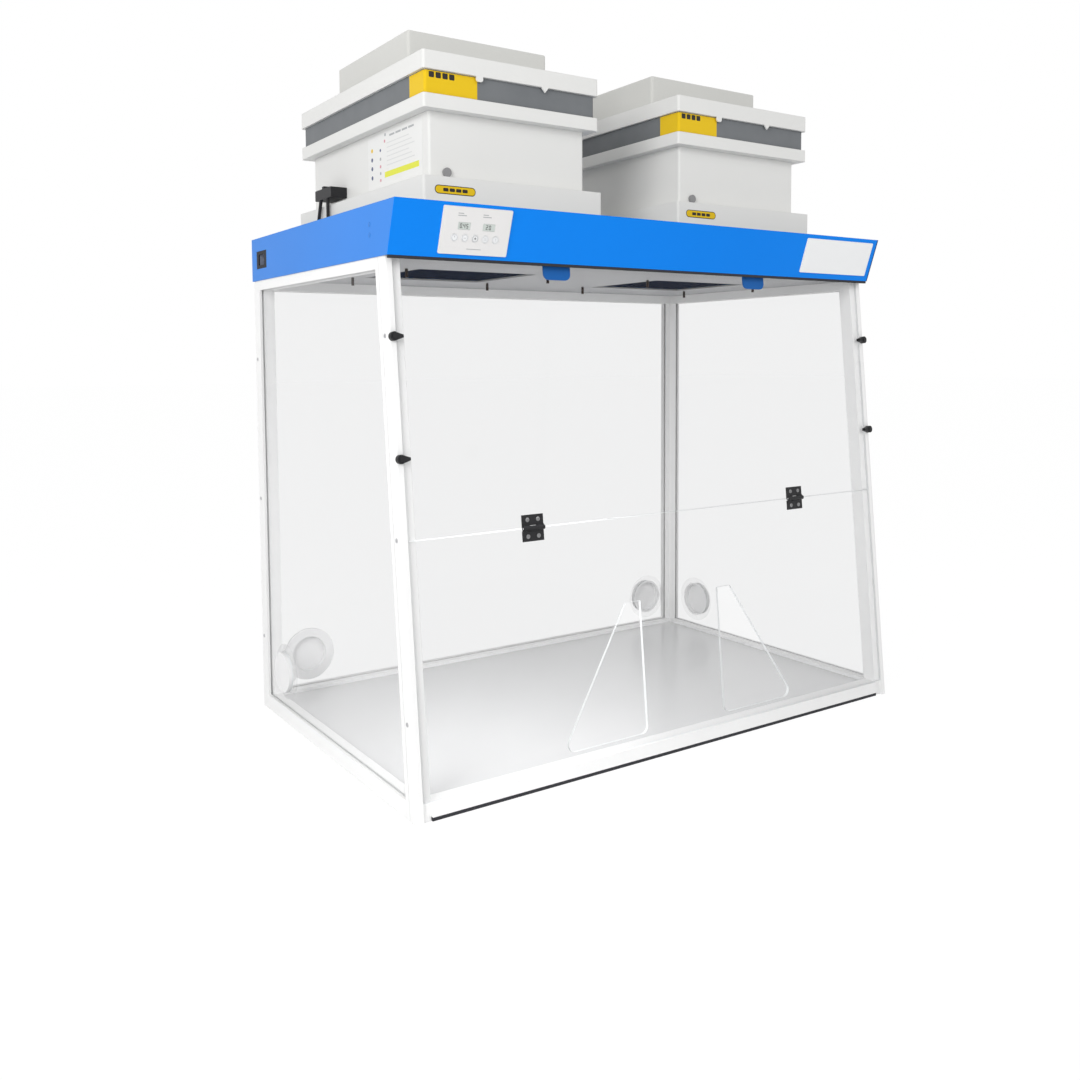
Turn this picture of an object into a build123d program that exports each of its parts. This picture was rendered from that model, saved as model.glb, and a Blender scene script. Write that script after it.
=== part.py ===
import os
from math import atan, cos, degrees, radians, sin, sqrt, tan

from build123d import *

os.makedirs("parts", exist_ok=True)

# A filtering fume hood: a clear work chamber in a white profile frame, a blue head and two
# filter columns on top. X runs to the right, Y to the back and Z up. The origin is on the
# bench, in the middle of the footprint. All sizes are in millimetres.

# Overall sizes
width = 1005
depth = 616
chamber_height = 785
front_lean = 75
head_height = 75
head_overhang = 2
fascia_lip_y = 60
fascia_lean = 25

# Profile frame
front_post_width = 26
front_post_depth = 30
rear_post_size = 30
post_round = 4
trim_groove_from_front = 18.5
trim_groove_width = 2
trim_groove_depth = 1.5
rail_height = 26
top_rail_height = 17
ledge_reach = 10
ledge_thickness = 6
seal_strip_height = 6
seal_strip_set_back = 2
work_surface_thickness = 8

# Clear panels and their grooves
panel_thickness = 5
groove_depth = 7
panel_bite = 6
groove_gap = 0.5
panel_from_outside = 5
front_panel_gap = 0.3
front_panel_bearing = 14
joint_height = 389
joint_gap = 1
panel_end_gap = 0.5
flap_floor_gap = 1.5

# Arm openings in the lower flap, measured on the right-hand one
arm_inner_x = 84
arm_outer_bottom_x = 250
arm_outer_top_x = 114
arm_bottom = 44
arm_top = 254
arm_bottom_round = 12
arm_top_round = 12

# Two-leaf hinges between the front panels
hinge_from_side = 219.5
hinge_width = 38
hinge_leaf_length = 20
hinge_leaf_thickness = 2
knuckle_radius = 3.5
knuckle_axis_proud = 3.7
hinge_pin_radius = 1.5
running_gap = 0.05
fixed_gap = 0.02
knuckle_end_gap = 0.3
leaf_joint_gap = 0.6
web_length = 5

# Turning latches that hold the upper front panel
lower_latch_above_joint = 114
upper_latch_below_top = 112
latch_radius = 6.5
latch_nose_reach = 14
latch_nose_tip = 4
latch_thickness = 7
latch_stud_radius = 2
latch_stud_depth = 8
latch_stud_head_radius = 3.5
latch_stud_head_height = 1.2

# Cable port plugs
port_height = 86
back_port_from_side = 87.5
side_port_from_back = 101
port_hole_radius = 36
port_flange_radius = 49
port_flange_thickness = 3
port_wall = 3
port_reach = 5
port_gap = 0.3

# Head
sheet = 2
ceiling_thickness = 3
ceiling_front_y = 66
intake_width = 226
intake_depth = 200
intake_from_column_front = 211.5
guide_pin_radius = 2.5
guide_pin_length = 14
guide_pin_outset = 23
gasket_height = 4
gasket_depth = 5
catch_from_side = 290.5
catch_width = 50
catch_drop = 24
catch_thickness = 3
catch_round = 10
prefilter_thickness = 10
prefilter_overlap = 5

# Control plate, measured along the fascia from its bottom edge
control_from_end = 76.5
control_width = 114
control_height = 68
control_bottom = 6
control_thickness = 2
control_frame = 7
key_radius = 5.5
key_pitch = 17
key_row_up = 30
key_gap = 0.2
key_proud = 0.4
key_rim = 1.3
key_rim_thickness = 1.9
key_rim_gap = 0.3
key_count = 5
display_width = 20
display_height = 10
display_pitch = 41
display_row_up = 47
display_gap = 0.2
display_recess = 0.3
board_gap = 3.4
board_thickness = 1.6
boss_size = 5
plate_round = 2
blank_plate_from_end = 13.5
blank_plate_width = 178
blank_plate_height = 62
blank_plate_bottom = 10
blank_plate_thickness = 1.5

# Mains inlet on the left side of the head
inlet_from_back = 50
inlet_above_ceiling = 36
inlet_length = 50
inlet_tall = 31
inlet_lip = 1.5
inlet_depth = 26
inlet_socket_length = 27
inlet_socket_tall = 19
inlet_socket_depth = 17
inlet_gap = 0.2
inlet_pin_length = 12
inlet_pin_width = 2
inlet_pin_tall = 4
inlet_pin_pitch = 7

# Filter columns
column_spacing = 174
column_width = 322
column_depth = 478
column_from_back = 9.5
column_round = 4
wall = 2.5
base_reach = 4
base_height = 52
base_plate = 3
base_opening_margin = 34
module_inset = 17.5
module_height = 99
filter_gap = 0.5
filter_height = 94
flange_height = 21
flange_floor = 3
band_inset = 5
band_height = 35
tab_width = 14
tab_drop = 8
tab_from_right = 105
catch_tab_from_left = 97
catch_tab_width = 12
catch_tab_round = 4
fan_module_height = 27
inlet_radius = 78
cap_width = 262
cap_depth = 268
cap_height = 60
cap_round = 5
grille_pitch = 13
grille_slot = 6
grille_margin = 16
motor_mount_radius = 52

# Fan
motor_radius = 42
motor_height = 8
shaft_radius = 6
shaft_length = 30
wheel_radius = 112
wheel_eye_radius = 86
wheel_plate = 2
wheel_height = 44
hub_radius = 18
hub_height = 26
wheel_top_gap = 1
blade_count = 8
blade_inner_radius = 46
blade_sweep = 48
blade_thickness = 2
blade_curve = 0.4

# Sampling plug on each filter module
sampling_from_edge = 47
sampling_up = 10
sampling_stem_radius = 5
sampling_head_radius = 7
sampling_head_thickness = 4
sampling_gap = 0.1

# Fan connector on the left column, with its two short leads
connector_from_column_back = 126.5
connector_length = 70
connector_tall = 18
connector_reach = 30
connector_up = 10
connector_nub = 8
lead_radius = 3
lead_spacing = 30
lead_from_base = 3
lead_splay = 22

# Derived places
half_width = width / 2
front_y = -depth / 2
back_y = depth / 2
lean_angle = atan(front_lean / chamber_height)
fascia_angle = atan(fascia_lean / head_height)
head_top = chamber_height + head_height
head_half_width = half_width + head_overhang
front_post_inner_x = half_width - front_post_width
rear_post_inner_x = half_width - rear_post_size
rear_post_front_y = back_y - rear_post_size
side_panel_x = half_width - panel_from_outside - panel_thickness / 2
back_panel_y = back_y - 2 * panel_from_outside - panel_thickness / 2
groove_width = panel_thickness + 2 * groove_gap
panel_floor = rail_height - panel_bite
panel_ceiling = chamber_height - top_rail_height + groove_depth - groove_gap
column_x = (column_spacing + column_width) / 2
column_back_y = back_y - column_from_back
column_centre_y = column_back_y - column_depth / 2
column_front_y = column_back_y - column_depth
hinge_x = half_width - hinge_from_side
catch_x = half_width - catch_from_side
intake_x = column_x
intake_y = column_front_y + intake_from_column_front
latch_heights = {
    "lower": joint_height + lower_latch_above_joint,
    "upper": chamber_height - upper_latch_below_top,
}

# Work planes of the leaning front and of the fascia, both facing the user
front_plane = Plane(
    origin=(0, front_y, 0), x_dir=(1, 0, 0), z_dir=(0, -cos(lean_angle), sin(lean_angle))
)
fascia_plane = Plane(
    origin=(0, front_y + fascia_lip_y, chamber_height),
    x_dir=(1, 0, 0),
    z_dir=(0, -cos(fascia_angle), -sin(fascia_angle)),
)
fascia_length = head_height / cos(fascia_angle)


def lean_y(height):
    """Y of the leaning front face at a height."""
    return front_y + front_lean * height / chamber_height


def up_front(height):
    """Distance along the leaning front that reaches a height."""
    return height / cos(lean_angle)


def save(builder, label):
    """Label a finished piece and write its STEP file."""
    builder.part.label = label
    export_step(builder.part, f"parts/{label}.step")


def outline(points):
    """Closed face through a few corner points, inside a sketch."""
    make_face(Wire.make_polygon([(*point, 0) for point in points], close=True).edges())


def side_bar(bottom, top, front_offset, rear_y):
    """Side view of a bar between a leaning front post and a rear limit."""
    outline(
        [
            (lean_y(bottom) + front_offset, bottom),
            (rear_y, bottom),
            (rear_y, top),
            (lean_y(top) + front_offset, top),
        ]
    )


# Front posts: leaning profiles with a bearing for the front panels and a side panel groove
rebate = (panel_thickness + front_panel_gap) / cos(lean_angle)
bearing_x = front_post_inner_x + front_panel_bearing
groove_near_x = side_panel_x - groove_width / 2
groove_far_x = side_panel_x + groove_width / 2
trim_near_y = front_y + trim_groove_from_front
trim_far_y = trim_near_y + trim_groove_width
trim_x = half_width - trim_groove_depth
post_back_y = front_y + front_post_depth
latch_x = (bearing_x + half_width) / 2

for side_name, side in (("left", -1), ("right", 1)):
    with BuildPart() as front_post:
        with BuildSketch(Plane.XY) as section:
            outline(
                [
                    (side * front_post_inner_x, front_y + rebate),
                    (side * bearing_x, front_y + rebate),
                    (side * bearing_x, front_y),
                    (side * half_width, front_y),
                    (side * half_width, trim_near_y),
                    (side * trim_x, trim_near_y),
                    (side * trim_x, trim_far_y),
                    (side * half_width, trim_far_y),
                    (side * half_width, post_back_y),
                    (side * groove_far_x, post_back_y),
                    (side * groove_far_x, post_back_y - groove_depth),
                    (side * groove_near_x, post_back_y - groove_depth),
                    (side * groove_near_x, post_back_y),
                    (side * front_post_inner_x, post_back_y),
                ]
            )
            outer_corner = section.vertices().sort_by_distance((side * half_width, front_y))[0]
            fillet(outer_corner, post_round)
        extrude(amount=up_front(chamber_height), dir=(0, sin(lean_angle), cos(lean_angle)))
        for height in latch_heights.values():
            with BuildSketch(front_plane):
                with Locations((side * latch_x, up_front(height))):
                    Circle(latch_stud_radius + fixed_gap)
            extrude(amount=-latch_stud_depth, mode=Mode.SUBTRACT)
    save(front_post, f"front_{side_name}_post")

# Rear posts: upright square profiles with grooves for the side and back panels
for side_name, side in (("left", -1), ("right", 1)):
    with BuildPart() as rear_post:
        with BuildSketch(Plane.XY) as section:
            with Locations((side * (half_width - rear_post_size / 2), back_y - rear_post_size / 2)):
                Rectangle(rear_post_size, rear_post_size)
            outer_corner = section.vertices().sort_by_distance((side * half_width, back_y))[0]
            fillet(outer_corner, post_round)
            with Locations((side * side_panel_x, rear_post_front_y + groove_depth / 2)):
                Rectangle(groove_width, groove_depth, mode=Mode.SUBTRACT)
            with Locations((side * (rear_post_inner_x + groove_depth / 2), back_panel_y)):
                Rectangle(groove_depth, groove_width, mode=Mode.SUBTRACT)
        extrude(amount=chamber_height)
    save(rear_post, f"rear_{side_name}_post")

# Side bottom rails: panel groove on top, ledge for the work surface inside
rear_ledge_y = rear_post_front_y - ledge_reach
front_ledge_y = post_back_y + ledge_reach
for side_name, side in (("left", -1), ("right", 1)):
    with BuildPart() as side_rail:
        with BuildSketch(Plane.YZ.offset(side * front_post_inner_x)):
            side_bar(0, rail_height, front_post_depth, rear_post_front_y)
        extrude(amount=side * front_post_width)
        with BuildSketch(Plane.YZ.offset(side * (side_panel_x - groove_width / 2))):
            side_bar(panel_floor, rail_height, front_post_depth, rear_post_front_y)
        extrude(amount=side * groove_width, mode=Mode.SUBTRACT)
        with BuildSketch(Plane.YZ.offset(side * front_post_inner_x)):
            with Locations(
                (
                    (front_ledge_y + rear_ledge_y) / 2,
                    seal_strip_height + ledge_thickness / 2,
                )
            ):
                Rectangle(rear_ledge_y - front_ledge_y, ledge_thickness)
        extrude(amount=-side * ledge_reach)
    save(side_rail, f"{side_name}_bottom_rail")

# Front bottom rail: its front face leans with the posts, and it stops above the seal strip
with BuildPart() as front_bottom_rail:
    with BuildSketch(Plane.YZ):
        outline(
            [
                (lean_y(seal_strip_height), seal_strip_height),
                (front_ledge_y, seal_strip_height),
                (front_ledge_y, seal_strip_height + ledge_thickness),
                (post_back_y, seal_strip_height + ledge_thickness),
                (post_back_y, rail_height),
                (lean_y(rail_height), rail_height),
            ]
        )
    extrude(amount=front_post_inner_x, both=True)
save(front_bottom_rail, "front_bottom_rail")

# Rear bottom rail
with BuildPart() as rear_bottom_rail:
    with BuildSketch(Plane.YZ):
        outline(
            [
                (back_y, seal_strip_height),
                (back_y, rail_height),
                (back_panel_y + groove_width / 2, rail_height),
                (back_panel_y + groove_width / 2, panel_floor),
                (back_panel_y - groove_width / 2, panel_floor),
                (back_panel_y - groove_width / 2, rail_height),
                (rear_post_front_y, rail_height),
                (rear_post_front_y, seal_strip_height + ledge_thickness),
                (rear_ledge_y, seal_strip_height + ledge_thickness),
                (rear_ledge_y, seal_strip_height),
            ]
        )
    extrude(amount=rear_post_inner_x, both=True)
save(rear_bottom_rail, "rear_bottom_rail")

# Rubber strips under the front and rear rails
seal_depth = front_post_depth - 2 * seal_strip_set_back
with BuildPart() as base_seal_strips:
    with BuildSketch(Plane.XY):
        with Locations((0, front_y + front_post_depth / 2)):
            Rectangle(2 * front_post_inner_x - groove_gap, seal_depth)
        with Locations((0, back_y - rear_post_size / 2)):
            Rectangle(2 * rear_post_inner_x - groove_gap, seal_depth)
    extrude(amount=seal_strip_height)
save(base_seal_strips, "base_seal_strips")

# Work surface, laid on the ledges of the four rails
surface_bottom = seal_strip_height + ledge_thickness
surface_front_y = lean_y(rail_height) + front_post_depth + groove_gap
surface_back_y = rear_post_front_y - groove_gap
with BuildPart() as work_surface:
    with BuildSketch(Plane.XY.offset(surface_bottom)):
        with Locations((0, (surface_front_y + surface_back_y) / 2)):
            Rectangle(2 * (front_post_inner_x - groove_gap), surface_back_y - surface_front_y)
    extrude(amount=work_surface_thickness)
    fillet(work_surface.faces().sort_by(Axis.Z)[-1].edges(), 1)
save(work_surface, "work_surface")

# Top rails: left, right and rear, one node of three bars
top_rail_floor = chamber_height - top_rail_height
with BuildPart() as top_rails:
    for side in (-1, 1):
        with BuildSketch(Plane.YZ.offset(side * front_post_inner_x)):
            side_bar(top_rail_floor, chamber_height, front_post_depth, rear_post_front_y)
        extrude(amount=side * front_post_width)
        with BuildSketch(Plane.YZ.offset(side * (side_panel_x - groove_width / 2))):
            side_bar(
                top_rail_floor, top_rail_floor + groove_depth, front_post_depth, rear_post_front_y
            )
        extrude(amount=side * groove_width, mode=Mode.SUBTRACT)
    with BuildSketch(Plane.YZ):
        outline(
            [
                (rear_post_front_y, top_rail_floor),
                (back_panel_y - groove_width / 2, top_rail_floor),
                (back_panel_y - groove_width / 2, top_rail_floor + groove_depth),
                (back_panel_y + groove_width / 2, top_rail_floor + groove_depth),
                (back_panel_y + groove_width / 2, top_rail_floor),
                (back_y, top_rail_floor),
                (back_y, chamber_height),
                (rear_post_front_y, chamber_height),
            ]
        )
    extrude(amount=rear_post_inner_x, both=True)
save(top_rails, "top_rails")

# Clear side panels, each with one cable port near the rear
side_port_y = back_y - side_port_from_back
back_port_x = half_width - back_port_from_side
for side_name, side in (("left", -1), ("right", 1)):
    with BuildPart() as side_panel:
        with BuildSketch(Plane.YZ.offset(side * (side_panel_x - panel_thickness / 2))):
            side_bar(
                panel_floor,
                panel_ceiling,
                front_post_depth - panel_bite,
                rear_post_front_y + panel_bite,
            )
            with Locations((side_port_y, port_height)):
                Circle(port_hole_radius, mode=Mode.SUBTRACT)
        extrude(amount=side * panel_thickness)
    save(side_panel, f"{side_name}_panel")

# Clear back panel with two cable ports
with BuildPart() as back_panel:
    with BuildSketch(Plane.XZ.offset(-(back_panel_y + panel_thickness / 2))):
        with Locations((0, (panel_floor + panel_ceiling) / 2)):
            Rectangle(2 * (rear_post_inner_x + panel_bite), panel_ceiling - panel_floor)
        with Locations((-back_port_x, port_height), (back_port_x, port_height)):
            Circle(port_hole_radius, mode=Mode.SUBTRACT)
    extrude(amount=panel_thickness)
save(back_panel, "back_panel")

# Cable port plugs: a cup through the panel, with a flange on the inside
plug_places = [
    Plane(
        origin=(-side_panel_x + panel_thickness / 2, side_port_y, port_height),
        x_dir=(0, 1, 0),
        z_dir=(1, 0, 0),
    ),
    Plane(
        origin=(side_panel_x - panel_thickness / 2, side_port_y, port_height),
        x_dir=(0, 1, 0),
        z_dir=(-1, 0, 0),
    ),
]
for side in (-1, 1):
    plug_places.append(
        Plane(
            origin=(side * back_port_x, back_panel_y - panel_thickness / 2, port_height),
            x_dir=(1, 0, 0),
            z_dir=(0, -1, 0),
        )
    )
plug_radius = port_hole_radius - port_gap
plug_depth = panel_thickness + port_reach
with BuildPart() as port_plugs:
    for place in plug_places:
        with BuildSketch(place):
            Circle(port_flange_radius)
        extrude(amount=port_flange_thickness)
        with BuildSketch(place):
            Circle(plug_radius)
        extrude(amount=-plug_depth)
        with BuildSketch(place.offset(port_flange_thickness)):
            Circle(plug_radius - port_wall)
        extrude(amount=-(plug_depth + port_flange_thickness - port_wall), mode=Mode.SUBTRACT)
save(port_plugs, "port_plugs")

# Upper front panel, held by the latches and by two catches under the fascia
front_panel_half_width = bearing_x - panel_end_gap
upper_bottom = up_front(joint_height) + joint_gap / 2
upper_top = up_front(chamber_height) - panel_end_gap
with BuildPart() as upper_front_panel:
    with BuildSketch(front_plane):
        with Locations((0, (upper_bottom + upper_top) / 2)):
            Rectangle(2 * front_panel_half_width, upper_top - upper_bottom)
    extrude(amount=-panel_thickness)
save(upper_front_panel, "upper_front_panel")

# Lower flap with two rounded arm openings
flap_bottom = up_front(rail_height) + flap_floor_gap
flap_top = up_front(joint_height) - joint_gap / 2
with BuildPart() as lower_front_flap:
    with BuildSketch(front_plane):
        with Locations((0, (flap_bottom + flap_top) / 2)):
            Rectangle(2 * front_panel_half_width, flap_top - flap_bottom)
        for side in (-1, 1):
            with BuildSketch(mode=Mode.SUBTRACT) as arm_opening:
                outline(
                    [
                        (side * arm_inner_x, up_front(arm_bottom)),
                        (side * arm_outer_bottom_x, up_front(arm_bottom)),
                        (side * arm_outer_top_x, up_front(arm_top)),
                        (side * arm_inner_x, up_front(arm_top)),
                    ]
                )
                low_corners = arm_opening.vertices().group_by(Axis.Y)[0]
                high_corners = arm_opening.vertices().group_by(Axis.Y)[-1]
                fillet(low_corners, arm_bottom_round)
                fillet(high_corners, arm_top_round)
    extrude(amount=-panel_thickness)
save(lower_front_flap, "lower_front_flap")

# Hinge leaves: two outer knuckles on the upper leaf, one middle knuckle on the lower leaf
joint_up = up_front(joint_height)
knuckle_pitch = hinge_width / 3
leaf_height = hinge_leaf_length - leaf_joint_gap
notch_height = 2 * (knuckle_radius + knuckle_end_gap)
with BuildPart() as hinge_upper_leaves:
    for side in (-1, 1):
        with BuildSketch(front_plane):
            with Locations((side * hinge_x, joint_up + leaf_joint_gap + leaf_height / 2)):
                Rectangle(hinge_width, leaf_height)
            with Locations((side * hinge_x, joint_up)):
                Rectangle(knuckle_pitch + knuckle_end_gap, notch_height, mode=Mode.SUBTRACT)
        extrude(amount=hinge_leaf_thickness)
        for place in (-1, 1):
            knuckle_x = side * hinge_x + place * knuckle_pitch
            knuckle_plane = Plane(
                origin=front_plane.from_local_coords((knuckle_x, joint_up, 0)),
                x_dir=front_plane.y_dir,
                z_dir=front_plane.x_dir,
            )
            with BuildSketch(knuckle_plane):
                with Locations((0, knuckle_axis_proud)):
                    Circle(knuckle_radius)
                with Locations(((leaf_joint_gap + web_length) / 2, knuckle_axis_proud / 2)):
                    Rectangle(web_length - leaf_joint_gap, knuckle_axis_proud)
                with Locations((0, knuckle_axis_proud)):
                    Circle(hinge_pin_radius + fixed_gap, mode=Mode.SUBTRACT)
            extrude(amount=(knuckle_pitch - knuckle_end_gap) / 2, both=True)
            with BuildSketch(knuckle_plane):
                with Locations((0, knuckle_axis_proud)):
                    Circle(hinge_pin_radius + fixed_gap)
            extrude(amount=knuckle_pitch / 2, both=True, mode=Mode.SUBTRACT)
save(hinge_upper_leaves, "hinge_upper_leaves")

with BuildPart() as hinge_lower_leaves:
    for side in (-1, 1):
        with BuildSketch(front_plane):
            with Locations((side * hinge_x, joint_up - leaf_joint_gap - leaf_height / 2)):
                Rectangle(hinge_width, leaf_height)
            for place in (-1, 1):
                with Locations((side * hinge_x + place * knuckle_pitch, joint_up)):
                    Rectangle(knuckle_pitch + knuckle_end_gap, notch_height, mode=Mode.SUBTRACT)
        extrude(amount=hinge_leaf_thickness)
        knuckle_plane = Plane(
            origin=front_plane.from_local_coords((side * hinge_x, joint_up, 0)),
            x_dir=front_plane.y_dir,
            z_dir=front_plane.x_dir,
        )
        with BuildSketch(knuckle_plane):
            with Locations((0, knuckle_axis_proud)):
                Circle(knuckle_radius)
            with Locations((-(leaf_joint_gap + web_length) / 2, knuckle_axis_proud / 2)):
                Rectangle(web_length - leaf_joint_gap, knuckle_axis_proud)
        extrude(amount=(knuckle_pitch - knuckle_end_gap) / 2, both=True)
        with BuildSketch(knuckle_plane):
            with Locations((0, knuckle_axis_proud)):
                Circle(hinge_pin_radius + running_gap)
        extrude(amount=knuckle_pitch / 2, both=True, mode=Mode.SUBTRACT)
save(hinge_lower_leaves, "hinge_lower_leaves")

with BuildPart() as hinge_pins:
    for side in (-1, 1):
        pin_plane = Plane(
            origin=front_plane.from_local_coords((side * hinge_x, joint_up, 0)),
            x_dir=front_plane.y_dir,
            z_dir=front_plane.x_dir,
        )
        with BuildSketch(pin_plane):
            with Locations((0, knuckle_axis_proud)):
                Circle(hinge_pin_radius)
        extrude(amount=hinge_width / 2, both=True)
save(hinge_pins, "hinge_pins")

# Turning latches: a round body with a nose that reaches over the upper front panel
for side_name, side in (("left", -1), ("right", 1)):
    for level, height in latch_heights.items():
        with BuildPart() as latch:
            up = up_front(height)
            nose_x = side * (latch_x - latch_nose_reach)
            with BuildSketch(front_plane.offset(front_panel_gap)):
                with Locations((side * latch_x, up)):
                    Circle(latch_radius)
                outline(
                    [
                        (side * latch_x, up - latch_radius),
                        (nose_x, up - latch_nose_tip / 2),
                        (nose_x, up + latch_nose_tip / 2),
                        (side * latch_x, up + latch_radius),
                    ]
                )
                with Locations((side * latch_x, up)):
                    Circle(latch_stud_radius + running_gap, mode=Mode.SUBTRACT)
            extrude(amount=latch_thickness)
        save(latch, f"latch_{level}_{side_name}")

# Shoulder studs that the latches turn on
with BuildPart() as latch_studs:
    for side in (-1, 1):
        for height in latch_heights.values():
            with BuildSketch(front_plane.offset(-latch_stud_depth)):
                with Locations((side * latch_x, up_front(height))):
                    Circle(latch_stud_radius)
            stud_length = latch_stud_depth + 2 * front_panel_gap + latch_thickness
            extrude(amount=stud_length)
            with BuildSketch(front_plane.offset(stud_length - latch_stud_depth)):
                with Locations((side * latch_x, up_front(height))):
                    Circle(latch_stud_head_radius)
            extrude(amount=latch_stud_head_height)
save(latch_studs, "latch_studs")

# Head casing: folded sheet with two sides, a back and a deck, open below and in front
deck_opening_width = column_width - 2 * base_opening_margin
deck_opening_depth = column_depth - 2 * base_opening_margin
casing_front_y = front_y + fascia_lip_y + sheet / cos(fascia_angle)
inlet_y = back_y - inlet_from_back
inlet_height = chamber_height + inlet_above_ceiling
with BuildPart() as head_casing:
    with BuildSketch(Plane.YZ):
        outline(
            [
                (casing_front_y, chamber_height),
                (back_y, chamber_height),
                (back_y, head_top),
                (casing_front_y - fascia_lean, head_top),
            ]
        )
    extrude(amount=head_half_width, both=True)
    with BuildSketch(Plane.YZ):
        outline(
            [
                (front_y, chamber_height),
                (back_y - sheet, chamber_height),
                (back_y - sheet, head_top - sheet),
                (front_y, head_top - sheet),
            ]
        )
    extrude(amount=head_half_width - sheet, both=True, mode=Mode.SUBTRACT)
    with BuildSketch(Plane.XY.offset(head_top)):
        with Locations((-column_x, column_centre_y), (column_x, column_centre_y)):
            Rectangle(deck_opening_width, deck_opening_depth)
    extrude(amount=-sheet, mode=Mode.SUBTRACT)
    with BuildSketch(Plane.YZ.offset(-head_half_width)):
        with Locations((inlet_y, inlet_height)):
            Rectangle(inlet_length, inlet_tall)
    extrude(amount=sheet, mode=Mode.SUBTRACT)
save(head_casing, "head_casing")

# Front fascia: slanted sheet with a window behind the control plate and a folded lower lip
control_x = control_from_end + control_width / 2 - head_half_width
window_width = control_width - 2 * control_frame
window_height = control_height - 2 * control_frame
control_centre_up = control_bottom + control_height / 2
lip_depth = ceiling_front_y - fascia_lip_y - front_panel_gap
with BuildPart() as front_fascia:
    with BuildSketch(Plane.YZ):
        outline(
            [
                (front_y + fascia_lip_y, chamber_height),
                (front_y + fascia_lip_y + lip_depth, chamber_height),
                (front_y + fascia_lip_y + lip_depth, chamber_height + sheet),
                (casing_front_y - sheet * tan(fascia_angle), chamber_height + sheet),
                (casing_front_y - fascia_lean, head_top),
                (front_y + fascia_lip_y - fascia_lean, head_top),
            ]
        )
    extrude(amount=head_half_width, both=True)
    for side in (-1, 1):
        with BuildSketch(Plane.YZ.offset(side * (head_half_width - sheet))):
            outline(
                [
                    (casing_front_y, chamber_height),
                    (back_y, chamber_height),
                    (back_y, head_top),
                    (casing_front_y - fascia_lean, head_top),
                ]
            )
        extrude(amount=side * sheet, mode=Mode.SUBTRACT)
    with BuildSketch(fascia_plane):
        with Locations((control_x, control_centre_up)):
            Rectangle(window_width, window_height)
    extrude(amount=-2 * sheet, mode=Mode.SUBTRACT)
save(front_fascia, "front_fascia")

# Black gasket under the lip of the fascia
with BuildPart() as fascia_gasket:
    with BuildSketch(Plane.XY.offset(chamber_height)):
        with Locations((0, front_y + fascia_lip_y + lip_depth - gasket_depth / 2)):
            Rectangle(width, gasket_depth)
    extrude(amount=-gasket_height)
save(fascia_gasket, "fascia_gasket")

# Ceiling of the chamber: a plate with two square intakes and eight welded guide pins
ceiling_y = front_y + ceiling_front_y
with BuildPart() as ceiling_panel:
    with BuildSketch(Plane.XY.offset(chamber_height)):
        with Locations((0, (ceiling_y + back_y - sheet) / 2)):
            Rectangle(width, back_y - sheet - ceiling_y)
        with Locations((-intake_x, intake_y), (intake_x, intake_y)):
            Rectangle(intake_width, intake_depth, mode=Mode.SUBTRACT)
    extrude(amount=ceiling_thickness)
    with BuildSketch(Plane.XY.offset(chamber_height)):
        for side in (-1, 1):
            with Locations((side * intake_x, intake_y)):
                with GridLocations(intake_width + 2 * guide_pin_outset, intake_depth, 2, 2):
                    Circle(guide_pin_radius)
    extrude(amount=-guide_pin_length)
save(ceiling_panel, "ceiling_panel")

# Filter mats laid over the intakes, above the ceiling
with BuildPart() as prefilter_mats:
    with BuildSketch(Plane.XY.offset(chamber_height + ceiling_thickness)):
        with Locations((-intake_x, intake_y), (intake_x, intake_y)):
            Rectangle(intake_width + 2 * prefilter_overlap, intake_depth + 2 * prefilter_overlap)
    extrude(amount=prefilter_thickness)
save(prefilter_mats, "prefilter_mats")

# Two catches that hang from the ceiling edge in front of the upper panel
catch_bottom = up_front(chamber_height - catch_drop)
catch_top = up_front(chamber_height + catch_drop)
with BuildPart() as panel_catches:
    with BuildSketch(front_plane.offset(front_panel_gap)) as shape:
        with Locations((-catch_x, (catch_bottom + catch_top) / 2)):
            Rectangle(catch_width, catch_top - catch_bottom)
        with Locations((catch_x, (catch_bottom + catch_top) / 2)):
            Rectangle(catch_width, catch_top - catch_bottom)
        fillet(shape.vertices().group_by(Axis.Y)[0], catch_round)
    extrude(amount=catch_thickness)
    split(bisect_by=Plane.XY.offset(chamber_height), keep=Keep.BOTTOM)
save(panel_catches, "panel_catches")

# Control plate: moulded cover with key holes, display windows and four bosses behind
first_key_x = control_x - key_pitch * (key_count - 1) / 2
key_places = [(first_key_x + number * key_pitch, key_row_up) for number in range(key_count)]
display_places = [
    (control_x - display_pitch / 2, display_row_up),
    (control_x + display_pitch / 2, display_row_up),
]
with BuildPart() as control_plate:
    with BuildSketch(fascia_plane):
        with Locations((control_x, control_centre_up)):
            RectangleRounded(control_width, control_height, plate_round)
        with Locations(*key_places):
            Circle(key_radius + key_gap, mode=Mode.SUBTRACT)
        with Locations(*display_places):
            Rectangle(
                display_width + 2 * display_gap,
                display_height + 2 * display_gap,
                mode=Mode.SUBTRACT,
            )
    extrude(amount=control_thickness)
    boss_reach_x = window_width - boss_size - 2 * display_gap
    boss_reach_y = window_height - boss_size - 2 * display_gap
    with BuildSketch(fascia_plane):
        with Locations((control_x, control_centre_up)):
            with GridLocations(boss_reach_x, boss_reach_y, 2, 2):
                Rectangle(boss_size, boss_size)
    extrude(amount=-board_gap)
save(control_plate, "control_plate")

# Two display windows that stand on the control board
with BuildPart() as display_windows:
    with BuildSketch(fascia_plane.offset(-board_gap)):
        with Locations(*display_places):
            Rectangle(display_width, display_height)
    extrude(amount=board_gap + control_thickness - display_recess)
save(display_windows, "display_windows")

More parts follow.
